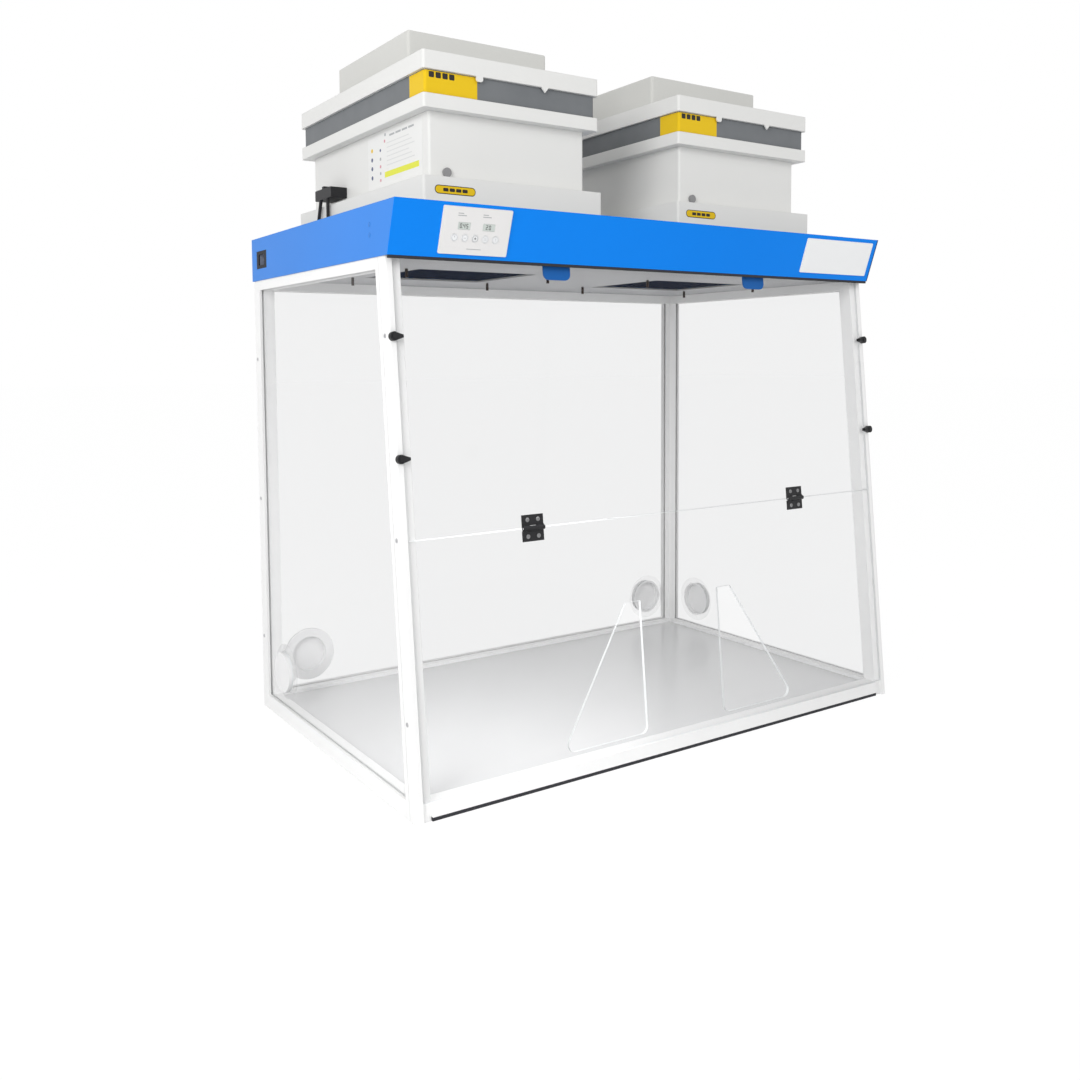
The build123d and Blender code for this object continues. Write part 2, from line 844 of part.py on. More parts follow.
# Five round keys, each held behind the plate by its rim
for number, place in enumerate(key_places, start=1):
    with BuildPart() as key:
        with BuildSketch(fascia_plane.offset(-key_rim_gap - key_rim_thickness)):
            with Locations(place):
                Rectangle(2 * (key_radius + key_rim), 2 * (key_radius + key_rim))
        extrude(amount=key_rim_thickness)
        with BuildSketch(fascia_plane.offset(-key_rim_gap)):
            with Locations(place):
                Circle(key_radius)
        extrude(amount=key_rim_gap + control_thickness + key_proud)
    save(key, f"key_{number}")

# Control board on the bosses of the plate
with BuildPart() as control_board:
    with BuildSketch(fascia_plane.offset(-board_gap)):
        with Locations((control_x, control_centre_up)):
            Rectangle(window_width, window_height)
    extrude(amount=-board_thickness)
save(control_board, "control_board")

# Bare plate at the right end of the fascia
blank_plate_x = head_half_width - blank_plate_from_end - blank_plate_width / 2
with BuildPart() as blank_plate:
    with BuildSketch(fascia_plane):
        with Locations((blank_plate_x, blank_plate_bottom + blank_plate_height / 2)):
            RectangleRounded(blank_plate_width, blank_plate_height, plate_round)
    extrude(amount=blank_plate_thickness)
save(blank_plate, "blank_plate")

# Mains inlet: a flush lip, a body behind it and a socket with three pins
inlet_plane = Plane(
    origin=(-head_half_width, inlet_y, inlet_height), x_dir=(0, 1, 0), z_dir=(1, 0, 0)
)
with BuildPart() as power_inlet:
    with BuildSketch(inlet_plane):
        Rectangle(inlet_length - 2 * inlet_gap, inlet_tall - 2 * inlet_gap)
    extrude(amount=inlet_depth)
    with BuildSketch(inlet_plane):
        RectangleRounded(inlet_socket_length, inlet_socket_tall, plate_round)
    extrude(amount=inlet_socket_depth, mode=Mode.SUBTRACT)
    with BuildSketch(inlet_plane.offset(inlet_socket_depth)):
        with GridLocations(inlet_pin_pitch, 0, 3, 1):
            Rectangle(inlet_pin_width, inlet_pin_tall)
    extrude(amount=-inlet_pin_length)
save(power_inlet, "power_inlet")

# Heights of the filter columns
base_top = head_top + base_height
module_top = base_top + module_height
flange_top = module_top + flange_height
band_top = flange_top + band_height
fan_module_top = band_top + fan_module_height
cap_top = fan_module_top + cap_height
module_width = column_width - 2 * module_inset
module_depth = column_depth - 2 * module_inset
module_front_y = column_front_y + module_inset
sampling_height = base_top + sampling_up
wheel_top = cap_top - wall - motor_height - wheel_top_gap
wheel_bottom = wheel_top - wheel_height
blade_tip = wheel_radius - blade_thickness
blade_middle = (blade_inner_radius + blade_tip) / 2 + 2 * blade_thickness


def rounded_box(x, floor, size_x, size_y, height, radius):
    """Upright box with rounded corners, centred on a column."""
    with BuildSketch(Plane((x, column_centre_y, floor)), mode=Mode.PRIVATE) as section:
        RectangleRounded(size_x, size_y, radius)
    extrude(section.sketch, amount=height)


def pocket(x, floor, size_x, size_y, height):
    """Rectangular space cut from a column piece."""
    with BuildSketch(Plane((x, column_centre_y, floor)), mode=Mode.PRIVATE) as section:
        Rectangle(size_x, size_y)
    extrude(section.sketch, amount=height, mode=Mode.SUBTRACT)


for side_name, side in (("left", -1), ("right", 1)):
    x = side * column_x

    # Base: a wide collar with an open floor and a plate that the filter stands on
    base_width = column_width + 2 * base_reach
    base_depth = column_depth + 2 * base_reach
    with BuildPart() as column_base:
        rounded_box(x, head_top, base_width, base_depth, base_height, column_round)
        pocket(
            x, head_top, base_width - 2 * wall, base_depth - 2 * wall, base_height - base_plate
        )
        pocket(x, head_top, deck_opening_width, deck_opening_depth, base_height)
    save(column_base, f"{side_name}_column_base")

    # Filter module: a sleeve around the carbon filter, with a hole for the sampling plug
    with BuildPart() as filter_module:
        rounded_box(x, base_top, module_width, module_depth, module_height, column_round)
        pocket(x, base_top, module_width - 2 * wall, module_depth - 2 * wall, module_height)
        with BuildSketch(Plane.XZ.offset(-module_front_y)):
            sampling_x = x - column_width / 2 + sampling_from_edge
            with Locations((sampling_x, sampling_height)):
                Circle(sampling_stem_radius + sampling_gap)
        extrude(amount=-wall, mode=Mode.SUBTRACT)
    save(filter_module, f"{side_name}_filter_module")

    # Flange: a shallow tray that carries the upper filter
    with BuildPart() as column_flange:
        rounded_box(x, module_top, column_width, column_depth, flange_height, column_round)
        pocket(
            x,
            module_top + flange_floor,
            column_width - 2 * wall,
            column_depth - 2 * wall,
            flange_height,
        )
        pocket(x, module_top, deck_opening_width, deck_opening_depth, flange_height)
    save(column_flange, f"{side_name}_column_flange")

    # Upper filter: a sealed grey cassette that stands in the tray
    with BuildPart() as filter_band:
        rounded_box(
            x,
            module_top + flange_floor,
            column_width - 2 * band_inset,
            column_depth - 2 * band_inset,
            flange_height - flange_floor + band_height,
            column_round,
        )
    save(filter_band, f"{side_name}_filter_band")

    # Fan module: a hood with an inlet ring for the wheel and a pointed tab at its lower edge
    with BuildPart() as fan_module:
        rounded_box(x, band_top, column_width, column_depth, fan_module_height, column_round)
        pocket(
            x,
            band_top,
            column_width - 2 * (band_inset + wall),
            column_depth - 2 * (band_inset + wall),
            fan_module_height - wall,
        )
        with BuildSketch(Plane.XY.offset(fan_module_top - wall)):
            with Locations((x, column_centre_y)):
                Circle(inlet_radius)
        extrude(amount=wall, mode=Mode.SUBTRACT)
        tab_x = x + column_width / 2 - tab_from_right
        with BuildSketch(Plane.XZ.offset(-column_front_y)):
            outline(
                [
                    (tab_x - tab_width / 2, band_top),
                    (tab_x + tab_width / 2, band_top),
                    (tab_x, band_top - tab_drop),
                ]
            )
        extrude(amount=-wall)
        catch_tab_x = x - column_width / 2 + catch_tab_from_left
        with BuildSketch(Plane.XZ.offset(-column_front_y)) as catch_tab:
            with Locations((catch_tab_x, band_top - tab_drop / 2)):
                Rectangle(catch_tab_width, tab_drop)
            fillet(catch_tab.vertices().group_by(Axis.Y)[0], catch_tab_round)
        extrude(amount=-wall)
    save(fan_module, f"{side_name}_fan_module")

    # Fan cap: a square cover with an exhaust grille round the motor mount
    with BuildPart() as fan_cap:
        rounded_box(x, fan_module_top, cap_width, cap_depth, cap_height, cap_round)
        fillet(fan_cap.faces().sort_by(Axis.Z)[-1].edges(), wall)
        pocket(x, fan_module_top, cap_width - 2 * wall, cap_depth - 2 * wall, cap_height - wall)
        grille_end = cap_width / 2 - grille_margin
        slot_rows = int((cap_depth / 2 - grille_margin) / grille_pitch)
        with BuildSketch(Plane.XY.offset(cap_top)):
            for row in range(-slot_rows, slot_rows + 1):
                slot_y = row * grille_pitch
                mount_edge = sqrt(max(motor_mount_radius**2 - slot_y**2, 0))
                slot_start = max(mount_edge, grille_slot)
                for end in (-1, 1):
                    slot_centre = x + end * (slot_start + grille_end) / 2
                    with Locations((slot_centre, column_centre_y + slot_y)):
                        Rectangle(grille_end - slot_start, grille_slot)
        extrude(amount=-wall, mode=Mode.SUBTRACT)
    save(fan_cap, f"{side_name}_fan_cap")

    # Impeller: backward-curved blades between a plate and a ring, on a hub
    with BuildPart() as impeller:
        with BuildSketch(Plane.XY.offset(wheel_top - wheel_plate)):
            with Locations((x, column_centre_y)):
                Circle(wheel_radius)
        extrude(amount=wheel_plate)
        with BuildSketch(Plane.XY.offset(wheel_bottom)):
            with Locations((x, column_centre_y)):
                Circle(wheel_radius)
                Circle(wheel_eye_radius, mode=Mode.SUBTRACT)
        extrude(amount=wheel_plate)
        with BuildSketch(Plane((x, column_centre_y, wheel_bottom + wheel_plate / 2))):
            for number in range(blade_count):
                turn = number * 360 / blade_count
                root = Vector(blade_inner_radius, 0).rotate(Axis.Z, turn)
                middle = Vector(blade_middle, 0).rotate(Axis.Z, turn - blade_sweep * blade_curve)
                tip = Vector(blade_tip, 0).rotate(Axis.Z, turn - blade_sweep)
                with BuildLine():
                    Polyline(root, middle, tip)
                trace(line_width=blade_thickness)
        extrude(amount=wheel_height - wheel_plate)
        with BuildSketch(Plane.XY.offset(wheel_top - hub_height)):
            with Locations((x, column_centre_y)):
                Circle(hub_radius)
        extrude(amount=hub_height)
        with BuildSketch(Plane.XY.offset(wheel_top)):
            with Locations((x, column_centre_y)):
                Circle(shaft_radius + running_gap)
        extrude(amount=-hub_height, mode=Mode.SUBTRACT)
    save(impeller, f"{side_name}_impeller")

column_places = [(-column_x, column_centre_y), (column_x, column_centre_y)]

# Carbon filters, one sealed block in each filter module
with BuildPart() as carbon_filters:
    with BuildSketch(Plane.XY.offset(base_top)):
        with Locations(*column_places):
            Rectangle(
                module_width - 2 * (wall + filter_gap), module_depth - 2 * (wall + filter_gap)
            )
    extrude(amount=filter_height)
save(carbon_filters, "carbon_filters")

# Fan motors, hung under the caps, with the shafts that carry the impellers
with BuildPart() as fan_motors:
    with BuildSketch(Plane.XY.offset(cap_top - wall)):
        with Locations(*column_places):
            Circle(motor_radius)
    extrude(amount=-motor_height)
    with BuildSketch(Plane.XY.offset(cap_top - wall - motor_height)):
        with Locations(*column_places):
            Circle(shaft_radius)
    extrude(amount=-shaft_length)
save(fan_motors, "fan_motors")

# Sampling plugs at the lower left of the two filter modules
with BuildPart() as sampling_plugs:
    for side in (-1, 1):
        sampling_x = side * column_x - column_width / 2 + sampling_from_edge
        with BuildSketch(Plane.XZ.offset(-module_front_y)):
            with Locations((sampling_x, sampling_height)):
                Circle(sampling_head_radius)
        extrude(amount=sampling_head_thickness)
        with BuildSketch(Plane.XZ.offset(-module_front_y)):
            with Locations((sampling_x, sampling_height)):
                Circle(sampling_stem_radius)
        extrude(amount=-wall)
save(sampling_plugs, "sampling_plugs")

# Fan connector on the left module, with two leads that run down into the deck
connector_y = column_back_y - connector_from_column_back
connector_x = -column_x - module_width / 2
connector_floor = base_top + connector_up
lead_x = -column_x - column_width / 2 - base_reach - lead_from_base - lead_radius
lead_drop = connector_floor - head_top
with BuildPart() as fan_connector:
    with BuildSketch(Plane.YZ.offset(connector_x)):
        with Locations((connector_y, connector_floor + connector_tall / 2)):
            RectangleRounded(connector_length, connector_tall, plate_round)
        with Locations((connector_y, connector_floor + connector_tall)):
            Rectangle(connector_nub, connector_nub)
    extrude(amount=-connector_reach)
    for place, splay in ((-0.5, 0), (0.5, lead_splay)):
        with BuildSketch(Plane.XY.offset(connector_floor)):
            with Locations((lead_x, connector_y + place * lead_spacing)):
                Circle(lead_radius)
        lead_length = sqrt(lead_drop**2 + splay**2)
        extrude(amount=lead_length, dir=(0, splay / lead_length, -lead_drop / lead_length))
save(fan_connector, "fan_connector")
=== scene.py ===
# %% [markdown]
# # A bench-top fume hood, finished in Blender
# The solids of the hood come ready made: posts, panels, head and filter columns. This lesson
# gives each of them its finish, adds the small things that are only printed or stuck on, and
# sets up a plain studio with the camera at the left front corner.

import math

import bmesh
import bpy
from mathutils import Matrix, Vector, noise


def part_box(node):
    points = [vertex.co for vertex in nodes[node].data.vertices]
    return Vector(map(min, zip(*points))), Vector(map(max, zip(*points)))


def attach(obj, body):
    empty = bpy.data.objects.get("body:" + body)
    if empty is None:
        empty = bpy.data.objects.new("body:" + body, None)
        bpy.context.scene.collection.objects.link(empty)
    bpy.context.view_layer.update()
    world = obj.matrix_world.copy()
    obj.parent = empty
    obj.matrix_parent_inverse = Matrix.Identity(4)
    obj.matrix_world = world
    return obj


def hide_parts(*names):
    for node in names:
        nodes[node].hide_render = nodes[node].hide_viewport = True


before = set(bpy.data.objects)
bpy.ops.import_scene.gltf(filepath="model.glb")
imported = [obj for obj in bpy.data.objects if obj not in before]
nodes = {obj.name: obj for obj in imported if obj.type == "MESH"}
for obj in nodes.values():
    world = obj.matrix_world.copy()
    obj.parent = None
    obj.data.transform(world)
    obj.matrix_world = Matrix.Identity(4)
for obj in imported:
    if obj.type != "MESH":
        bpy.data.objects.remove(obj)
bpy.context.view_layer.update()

# %% [markdown]
# ## Working on a face
# Labels, keys and screws all sit on a flat face of some solid. A small class reads that face
# from the mesh: it looks along three directions and keeps how far the solid reaches. A sticker
# is then placed in plain distances from the lower left corner of its face, so it follows the
# solid if the solid is made anew.

# %% A face that things can be placed on
MM = 0.001


class Face:
    """One side of a node, seen from outside, with its lower left corner as the start."""

    def __init__(self, node, up=(0, 0, 1), out=(0, -1, 0)):
        self.up = Vector(up).normalized()
        self.out = Vector(out).normalized()
        self.right = self.up.cross(self.out)
        corners = [v.co for v in nodes[node].data.vertices]
        self.left = min(c.dot(self.right) for c in corners)
        self.width = max(c.dot(self.right) for c in corners) - self.left
        self.bottom = min(c.dot(self.up) for c in corners)
        self.height = max(c.dot(self.up) for c in corners) - self.bottom
        self.level = max(c.dot(self.out) for c in corners)

    def at(self, across, upward, proud=0.0):
        """The point at distances given in millimetres from the lower left corner."""
        return (
            self.right * (self.left + across * MM)
            + self.up * (self.bottom + upward * MM)
            + self.out * (self.level + proud * MM)
        )


def foremost_line(node):
    """Lowest and highest point of the edge that leads a leaning node, in the side view."""
    corners = [v.co for v in nodes[node].data.vertices]
    low, high = min(c.z for c in corners), max(c.z for c in corners)
    low_y = min(c.y for c in corners if c.z < low + MM)
    high_y = min(c.y for c in corners if c.z > high - MM)
    return Vector((0, low_y, low)), Vector((0, high_y, high))


post_foot, post_head = foremost_line("front_left_post")
FRONT_UP = (post_head - post_foot).normalized()
FRONT_OUT = Vector((0, -FRONT_UP.z, FRONT_UP.y))
fascia_foot, fascia_head = foremost_line("front_fascia")
FASCIA_UP = (fascia_head - fascia_foot).normalized()
FASCIA_OUT = Vector((0, -FASCIA_UP.z, FASCIA_UP.y))
print("front leans back", round(math.degrees(math.asin(FRONT_UP.y)), 2), "degrees")
print("fascia leans out", round(math.degrees(math.asin(-FASCIA_UP.y)), 2), "degrees")

# %% [markdown]
# ## Shared effects as node groups
# Powder coat, moulded plastic and rubber all have the same kind of surface: an even colour
# with a slight drift, and a fine relief that breaks up the highlight. It is built once as a
# group and gets its own numbers in each material. The group gives out only a colour, a
# roughness and a height, and the shader stays in the material.

# %% The group for fine grain
def new_group(name, inputs, outputs):
    """An empty shader group with named sockets, and its two end nodes."""
    group = bpy.data.node_groups.new(name, "ShaderNodeTree")
    for label, kind, value in inputs:
        socket = group.interface.new_socket(label, in_out="INPUT", socket_type=kind)
        socket.default_value = value
    for label, kind in outputs:
        group.interface.new_socket(label, in_out="OUTPUT", socket_type=kind)
    start = group.nodes.new("NodeGroupInput")
    end = group.nodes.new("NodeGroupOutput")
    return group, start, end


def add_math(tree, operation, first, second):
    """A math node whose inputs are sockets or plain numbers."""
    node = tree.nodes.new("ShaderNodeMath")
    node.operation = operation
    for slot, value in zip(node.inputs, (first, second)):
        if isinstance(value, (int, float)):
            slot.default_value = value
        else:
            tree.links.new(value, slot)
    return node.outputs[0]


def add_mix(tree, factor, first, second):
    """A colour mix; colours may be sockets or values."""
    node = tree.nodes.new("ShaderNodeMix")
    node.data_type = "RGBA"
    for slot, value in ((node.inputs[0], factor), (node.inputs[6], first), (node.inputs[7], second)):
        if isinstance(value, bpy.types.NodeSocket):
            tree.links.new(value, slot)
        else:
            slot.default_value = value
    return node.outputs[2]


def add_noise(tree, vector, scale, detail=3.0):
    """A noise texture that reads a coordinate socket."""
    node = tree.nodes.new("ShaderNodeTexNoise")
    tree.links.new(vector, node.inputs["Vector"])
    node.inputs["Detail"].default_value = detail
    if isinstance(scale, bpy.types.NodeSocket):
        tree.links.new(scale, node.inputs["Scale"])
    else:
        node.inputs["Scale"].default_value = scale
    return node.outputs["Fac"]


def add_group(tree, group, values):
    """A node that uses a group, with values for its inputs."""
    node = tree.nodes.new("ShaderNodeGroup")
    node.node_tree = group
    for label, value in values.items():
        node.inputs[label].default_value = value
    return node.outputs


def mix_shaders(tree, factor, first, second):
    """A shader mix whose factor is a socket."""
    node = tree.nodes.new("ShaderNodeMixShader")
    for slot, value in zip(node.inputs, (factor, first, second)):
        tree.links.new(value, slot)
    return node.outputs["Shader"]


def show(tree, shader):
    """Sends a shader to the material output."""
    tree.links.new(shader, tree.nodes["Material Output"].inputs["Surface"])


grain, grain_in, grain_out = new_group(
    "Fine grain",
    [
        ("Colour", "NodeSocketColor", (0.8, 0.8, 0.8, 1)),
        ("Second Colour", "NodeSocketColor", (0.7, 0.7, 0.7, 1)),
        ("Grain Scale", "NodeSocketFloat", 900.0),
        ("Drift Scale", "NodeSocketFloat", 6.0),
        ("Roughness", "NodeSocketFloat", 0.4),
        ("Roughness Spread", "NodeSocketFloat", 0.1),
    ],
    [("Colour", "NodeSocketColor"), ("Roughness", "NodeSocketFloat"), ("Height", "NodeSocketFloat")],
)
place = grain.nodes.new("ShaderNodeTexCoord").outputs["Object"]
drift = add_noise(grain, place, grain_in.outputs["Drift Scale"], 2.0)
pits = add_noise(grain, place, grain_in.outputs["Grain Scale"], 4.0)
tone = add_mix(grain, drift, grain_in.outputs["Colour"], grain_in.outputs["Second Colour"])
spread = add_math(grain, "MULTIPLY", add_math(grain, "SUBTRACT", pits, 0.5),
                  grain_in.outputs["Roughness Spread"])
rough = add_math(grain, "ADD", grain_in.outputs["Roughness"], spread)
grain.links.new(tone, grain_out.inputs["Colour"])
grain.links.new(rough, grain_out.inputs["Roughness"])
grain.links.new(pits, grain_out.inputs["Height"])
print("group:", grain.name)

# %% [markdown]
# Real sheet metal and mouldings have no perfectly sharp edge, and the thin highlight along an
# edge is what tells the eye so. The Bevel node rounds the normals near an edge without touching
# the mesh, so one more group holds it, with the radius as an input.

# %% The group for softened edges
soft_edge, soft_in, soft_out = new_group(
    "Soft edge", [("Radius", "NodeSocketFloat", 0.001)], [("Normal", "NodeSocketVector")]
)
bevel = soft_edge.nodes.new("ShaderNodeBevel")
bevel.samples = 4
soft_edge.links.new(soft_in.outputs["Radius"], bevel.inputs["Radius"])
soft_edge.links.new(bevel.outputs["Normal"], soft_out.inputs["Normal"])
print("group:", soft_edge.name)

# %% [markdown]
# Some solids change colour at a fixed place: pins under a plate, the floor of a socket, and the end of a
# sheet, where the colour is painted shade. Two small groups make such masks from the object's own
# coordinates. One is on beyond a level along a direction, the other between two distances from a point.

# %% The groups for masks by place
beyond, beyond_in, beyond_out = new_group(
    "Beyond level",
    [("Direction", "NodeSocketVector", (0, 0, 1)), ("Level", "NodeSocketFloat", 0.0)],
    [("Mask", "NodeSocketFloat")],
)
along = beyond.nodes.new("ShaderNodeVectorMath")
along.operation = "DOT_PRODUCT"
beyond.links.new(beyond.nodes.new("ShaderNodeTexCoord").outputs["Object"], along.inputs[0])
beyond.links.new(beyond_in.outputs["Direction"], along.inputs[1])
past = add_math(beyond, "GREATER_THAN", along.outputs["Value"], beyond_in.outputs["Level"])
beyond.links.new(past, beyond_out.inputs["Mask"])

shell, shell_in, shell_out = new_group(
    "Between distances",
    [("Centre", "NodeSocketVector", (0, 0, 0)), ("Near", "NodeSocketFloat", 0.0),
     ("Far", "NodeSocketFloat", 1.0)],
    [("Mask", "NodeSocketFloat")],
)
reach = shell.nodes.new("ShaderNodeVectorMath")
reach.operation = "DISTANCE"
shell.links.new(shell.nodes.new("ShaderNodeTexCoord").outputs["Object"], reach.inputs[0])
shell.links.new(shell_in.outputs["Centre"], reach.inputs[1])
past_near = add_math(shell, "GREATER_THAN", reach.outputs["Value"], shell_in.outputs["Near"])
before_far = add_math(shell, "LESS_THAN", reach.outputs["Value"], shell_in.outputs["Far"])
shell.links.new(add_math(shell, "MULTIPLY", past_near, before_far), shell_out.inputs["Mask"])
print("groups:", beyond.name, "and", shell.name)

# %% [markdown]
# ## Finishes
# One function makes every opaque finish from the groups and a Bump node. What is the same all
# over a surface, metallic and specular, is set on the shader's own sockets. A strong colour may
# be given a calmer one for the light it throws on its neighbours.

# %% A function for opaque finishes
finishes = {}


def finish(name, colour, second, roughness, spread=0.08, grain_scale=900.0, drift_scale=6.0,
           relief=0.05, depth=0.00005, edge=0.0008, metallic=0.0, specular=0.5,
           beyond_level=None, bounce=None):
    """An opaque material with fine grain and softened edges.

    beyond_level holds a direction, a level and the colour past it; bounce is the colour that
    neighbours are lit with.
    """
    material = bpy.data.materials.new(name)
    material.use_nodes = True
    tree = material.node_tree
    shader = tree.nodes["Principled BSDF"]
    skin = add_group(tree, grain, {
        "Colour": (*colour, 1), "Second Colour": (*second, 1), "Grain Scale": grain_scale,
        "Drift Scale": drift_scale, "Roughness": roughness, "Roughness Spread": spread,
    })
    rounding = add_group(tree, soft_edge, {"Radius": edge})
    bump = tree.nodes.new("ShaderNodeBump")
    bump.inputs["Strength"].default_value = relief
    bump.inputs["Distance"].default_value = depth
    shown = skin["Colour"]
    if beyond_level:
        direction, level, other = beyond_level
        mask = add_group(tree, beyond, {"Direction": direction, "Level": level})
        shown = add_mix(tree, mask["Mask"], shown, (*other, 1))
    if bounce:
        path = tree.nodes.new("ShaderNodeLightPath")
        shown = add_mix(tree, path.outputs["Is Diffuse Ray"], shown, (*bounce, 1))
    tree.links.new(shown, shader.inputs["Base Color"])
    tree.links.new(skin["Roughness"], shader.inputs["Roughness"])
    tree.links.new(skin["Height"], bump.inputs["Height"])
    tree.links.new(rounding["Normal"], bump.inputs["Normal"])
    tree.links.new(bump.outputs["Normal"], shader.inputs["Normal"])
    shader.inputs["Metallic"].default_value = metallic
    shader.inputs["Specular IOR Level"].default_value = specular
    finishes[name] = material
    return material


# %% [markdown]
# The painted parts: a white powder coat on the profiles, satin blue paint on the head and an
# off-white powder coat on the columns. Their grain is fine and their drift is slight, because
# the hood is clean and nearly new. The guide pins under the ceiling are dark, which a mask by
# level takes care of. The blue of the head's casing is paler than the fascia's: painted sheen of
# its sides at a glancing angle. The panel catches are a darker blue as painted shade, and a mask
# by level paints shade on the right end of the fascia.

# %% Paints
BLUE_BOUNCE = (0.42, 0.44, 0.48)
# The second number is the width, in millimetres, of the painted shade at the right end of the fascia.
CEILING_THICKNESS, SHADED_END_WIDTH = 3.5, 2.5
PIN_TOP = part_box("ceiling_panel")[1].z - CEILING_THICKNESS * MM
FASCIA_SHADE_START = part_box("front_fascia")[1].x - SHADED_END_WIDTH * MM
finish("White powder coat", (0.94, 0.94, 0.935), (0.90, 0.90, 0.90), 0.38, relief=0.25, specular=0.3)
# The head casing's blue is paler and less saturated than the fascia's: painted sheen, which the casing's
# sides show at a glancing angle; the head screws share it.
finish("Satin blue paint", (0.045, 0.25, 0.78), (0.040, 0.235, 0.74), 0.4, relief=0.2, specular=0.15,
       bounce=BLUE_BOUNCE)
# The last few millimetres at the right end of the fascia turn dark navy: painted shade on the end of the
# sheet.
finish("Satin blue paint, painted shade at end", (0.003, 0.245, 0.92), (0.002, 0.225, 0.86), 0.4, relief=0.2,
       specular=0.1, bounce=BLUE_BOUNCE, beyond_level=((1, 0, 0), FASCIA_SHADE_START, (0.01, 0.05, 0.2)))
# The panel catches get a darker copy of the head's blue: painted shade, since they hang in the shadow of
# the fascia.
finish("Blue paint, painted shade", (0.012, 0.12, 0.42), (0.010, 0.11, 0.38), 0.4, relief=0.2, specular=0.15)
finish("Off-white powder coat", (0.80, 0.80, 0.785), (0.77, 0.77, 0.755), 0.45, relief=0.3, edge=0.0014,
       specular=0.3)
finish("Cap powder coat", (0.66, 0.66, 0.635), (0.63, 0.63, 0.605), 0.45, relief=0.3, edge=0.0014,
       specular=0.3)
finish("Grey filter frame", (0.145, 0.155, 0.165), (0.19, 0.20, 0.21), 0.5, relief=0.4, drift_scale=25,
       specular=0.3)
finish("Ceiling grey", (0.46, 0.465, 0.48), (0.42, 0.425, 0.44), 0.45, relief=0.3, specular=0.2,
       beyond_level=((0, 0, -1), -PIN_TOP, (0.05, 0.035, 0.03)))
finish("Work surface laminate", (0.76, 0.762, 0.766), (0.72, 0.722, 0.726), 0.22, spread=0.12,
       grain_scale=300, drift_scale=3, relief=0.12, specular=0.5)
print("paints:", len(finishes))

# %% [markdown]
# Plastics, rubber and metals. Black mouldings are never fully black, and rubber is rougher and
# shows more grain. The floor of the inlet's socket is grey. The steel of pins and screws is
# metallic, and the ink of each print is a little worn in places.

# %% Plastics, rubber and metals
SOCKET_RIM = 2
SOCKET_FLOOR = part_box("power_inlet")[0].x + SOCKET_RIM * MM
finish("Black moulding", (0.018, 0.018, 0.020), (0.026, 0.026, 0.028), 0.42, relief=0.5,
       grain_scale=1500, specular=0.2)
finish("Black inlet", (0.010, 0.010, 0.014), (0.014, 0.014, 0.018), 0.42, relief=0.5, grain_scale=1500,
       specular=0.1, beyond_level=((1, 0, 0), SOCKET_FLOOR, (0.22, 0.24, 0.30)))
finish("Black rubber", (0.030, 0.030, 0.036), (0.042, 0.042, 0.048), 0.62, relief=0.7, grain_scale=1200,
       specular=0.2)
finish("Grey moulding", (0.20, 0.20, 0.205), (0.26, 0.26, 0.265), 0.3, relief=0.3, specular=0.6)
finish("Bright steel", (0.62, 0.62, 0.63), (0.50, 0.50, 0.52), 0.28, metallic=1.0, edge=0.0003)
finish("Cast aluminium", (0.60, 0.61, 0.62), (0.52, 0.53, 0.55), 0.4, metallic=1.0, relief=0.5)
finish("White film", (0.93, 0.94, 0.945), (0.91, 0.92, 0.93), 0.3, relief=0.1, specular=0.3,
       edge=0.0005)
finish("Matt film", (0.82, 0.81, 0.805), (0.80, 0.79, 0.785), 0.4, relief=0.1, specular=0.3,
       edge=0.0005)
finish("Label film", (0.83, 0.83, 0.82), (0.81, 0.81, 0.80), 0.35, relief=0.1, specular=0.3,
       edge=0.0005)
finish("Pale display", (0.62, 0.67, 0.64), (0.58, 0.63, 0.60), 0.18, relief=0.05, edge=0.0003)
finish("White key", (0.88, 0.89, 0.90), (0.84, 0.85, 0.87), 0.4, relief=0.2, edge=0.0005, specular=0.3)
finish("Green board", (0.02, 0.13, 0.05), (0.02, 0.10, 0.04), 0.35, drift_scale=300)
finish("Filter fibre", (0.012, 0.018, 0.036), (0.020, 0.026, 0.046), 0.85, relief=1.0, depth=0.0006,
       grain_scale=500, drift_scale=60, specular=0.0)
finish("Packed carbon", (0.012, 0.012, 0.012), (0.03, 0.03, 0.03), 0.75, relief=1.0, depth=0.001,
       grain_scale=300, drift_scale=200)
PRINTS = {
    "Yellow print": (0.82, 0.55, 0.016),
    "Dark print": (0.035, 0.032, 0.03),
    "Grey print": (0.45, 0.46, 0.47),
    "Faint print": (0.72, 0.72, 0.72),
    "Lime print": (0.78, 0.80, 0.08),
    "Rose print": (0.68, 0.33, 0.38),
    "Slate print": (0.12, 0.14, 0.24),
}
WORN_SHARE = 0.94
for print_name, ink in PRINTS.items():
    worn = tuple(channel * WORN_SHARE for channel in ink)
    finish(print_name, ink, worn, 0.4, relief=0.1, edge=0.0001, specular=0.15)
print("finishes:", len(finishes))

# %% [markdown]
# ## Clear acrylic
# The five large panels are cast acrylic sheet with a light grey tint: nearly invisible face on,
# pale and frosted on the sawn edges. The faces and the edges are told apart by the direction of
# the surface in the panel's own space, so the mask turns with the flap. A lamp's light goes
# straight through, because shadow rays meet a Transparent shader instead of the glass.

# %% The acrylic material
SHEET_TINT, SHEET_IOR = (0.934, 0.935, 0.936, 1), 1.15
SAWN = {"Colour": (0.86, 0.875, 0.88, 1), "Second Colour": (0.80, 0.815, 0.82, 1), "Roughness": 0.55}
FACE_LIMIT = 0.7
LAMP_TINT = (0.98, 0.98, 0.98, 1)


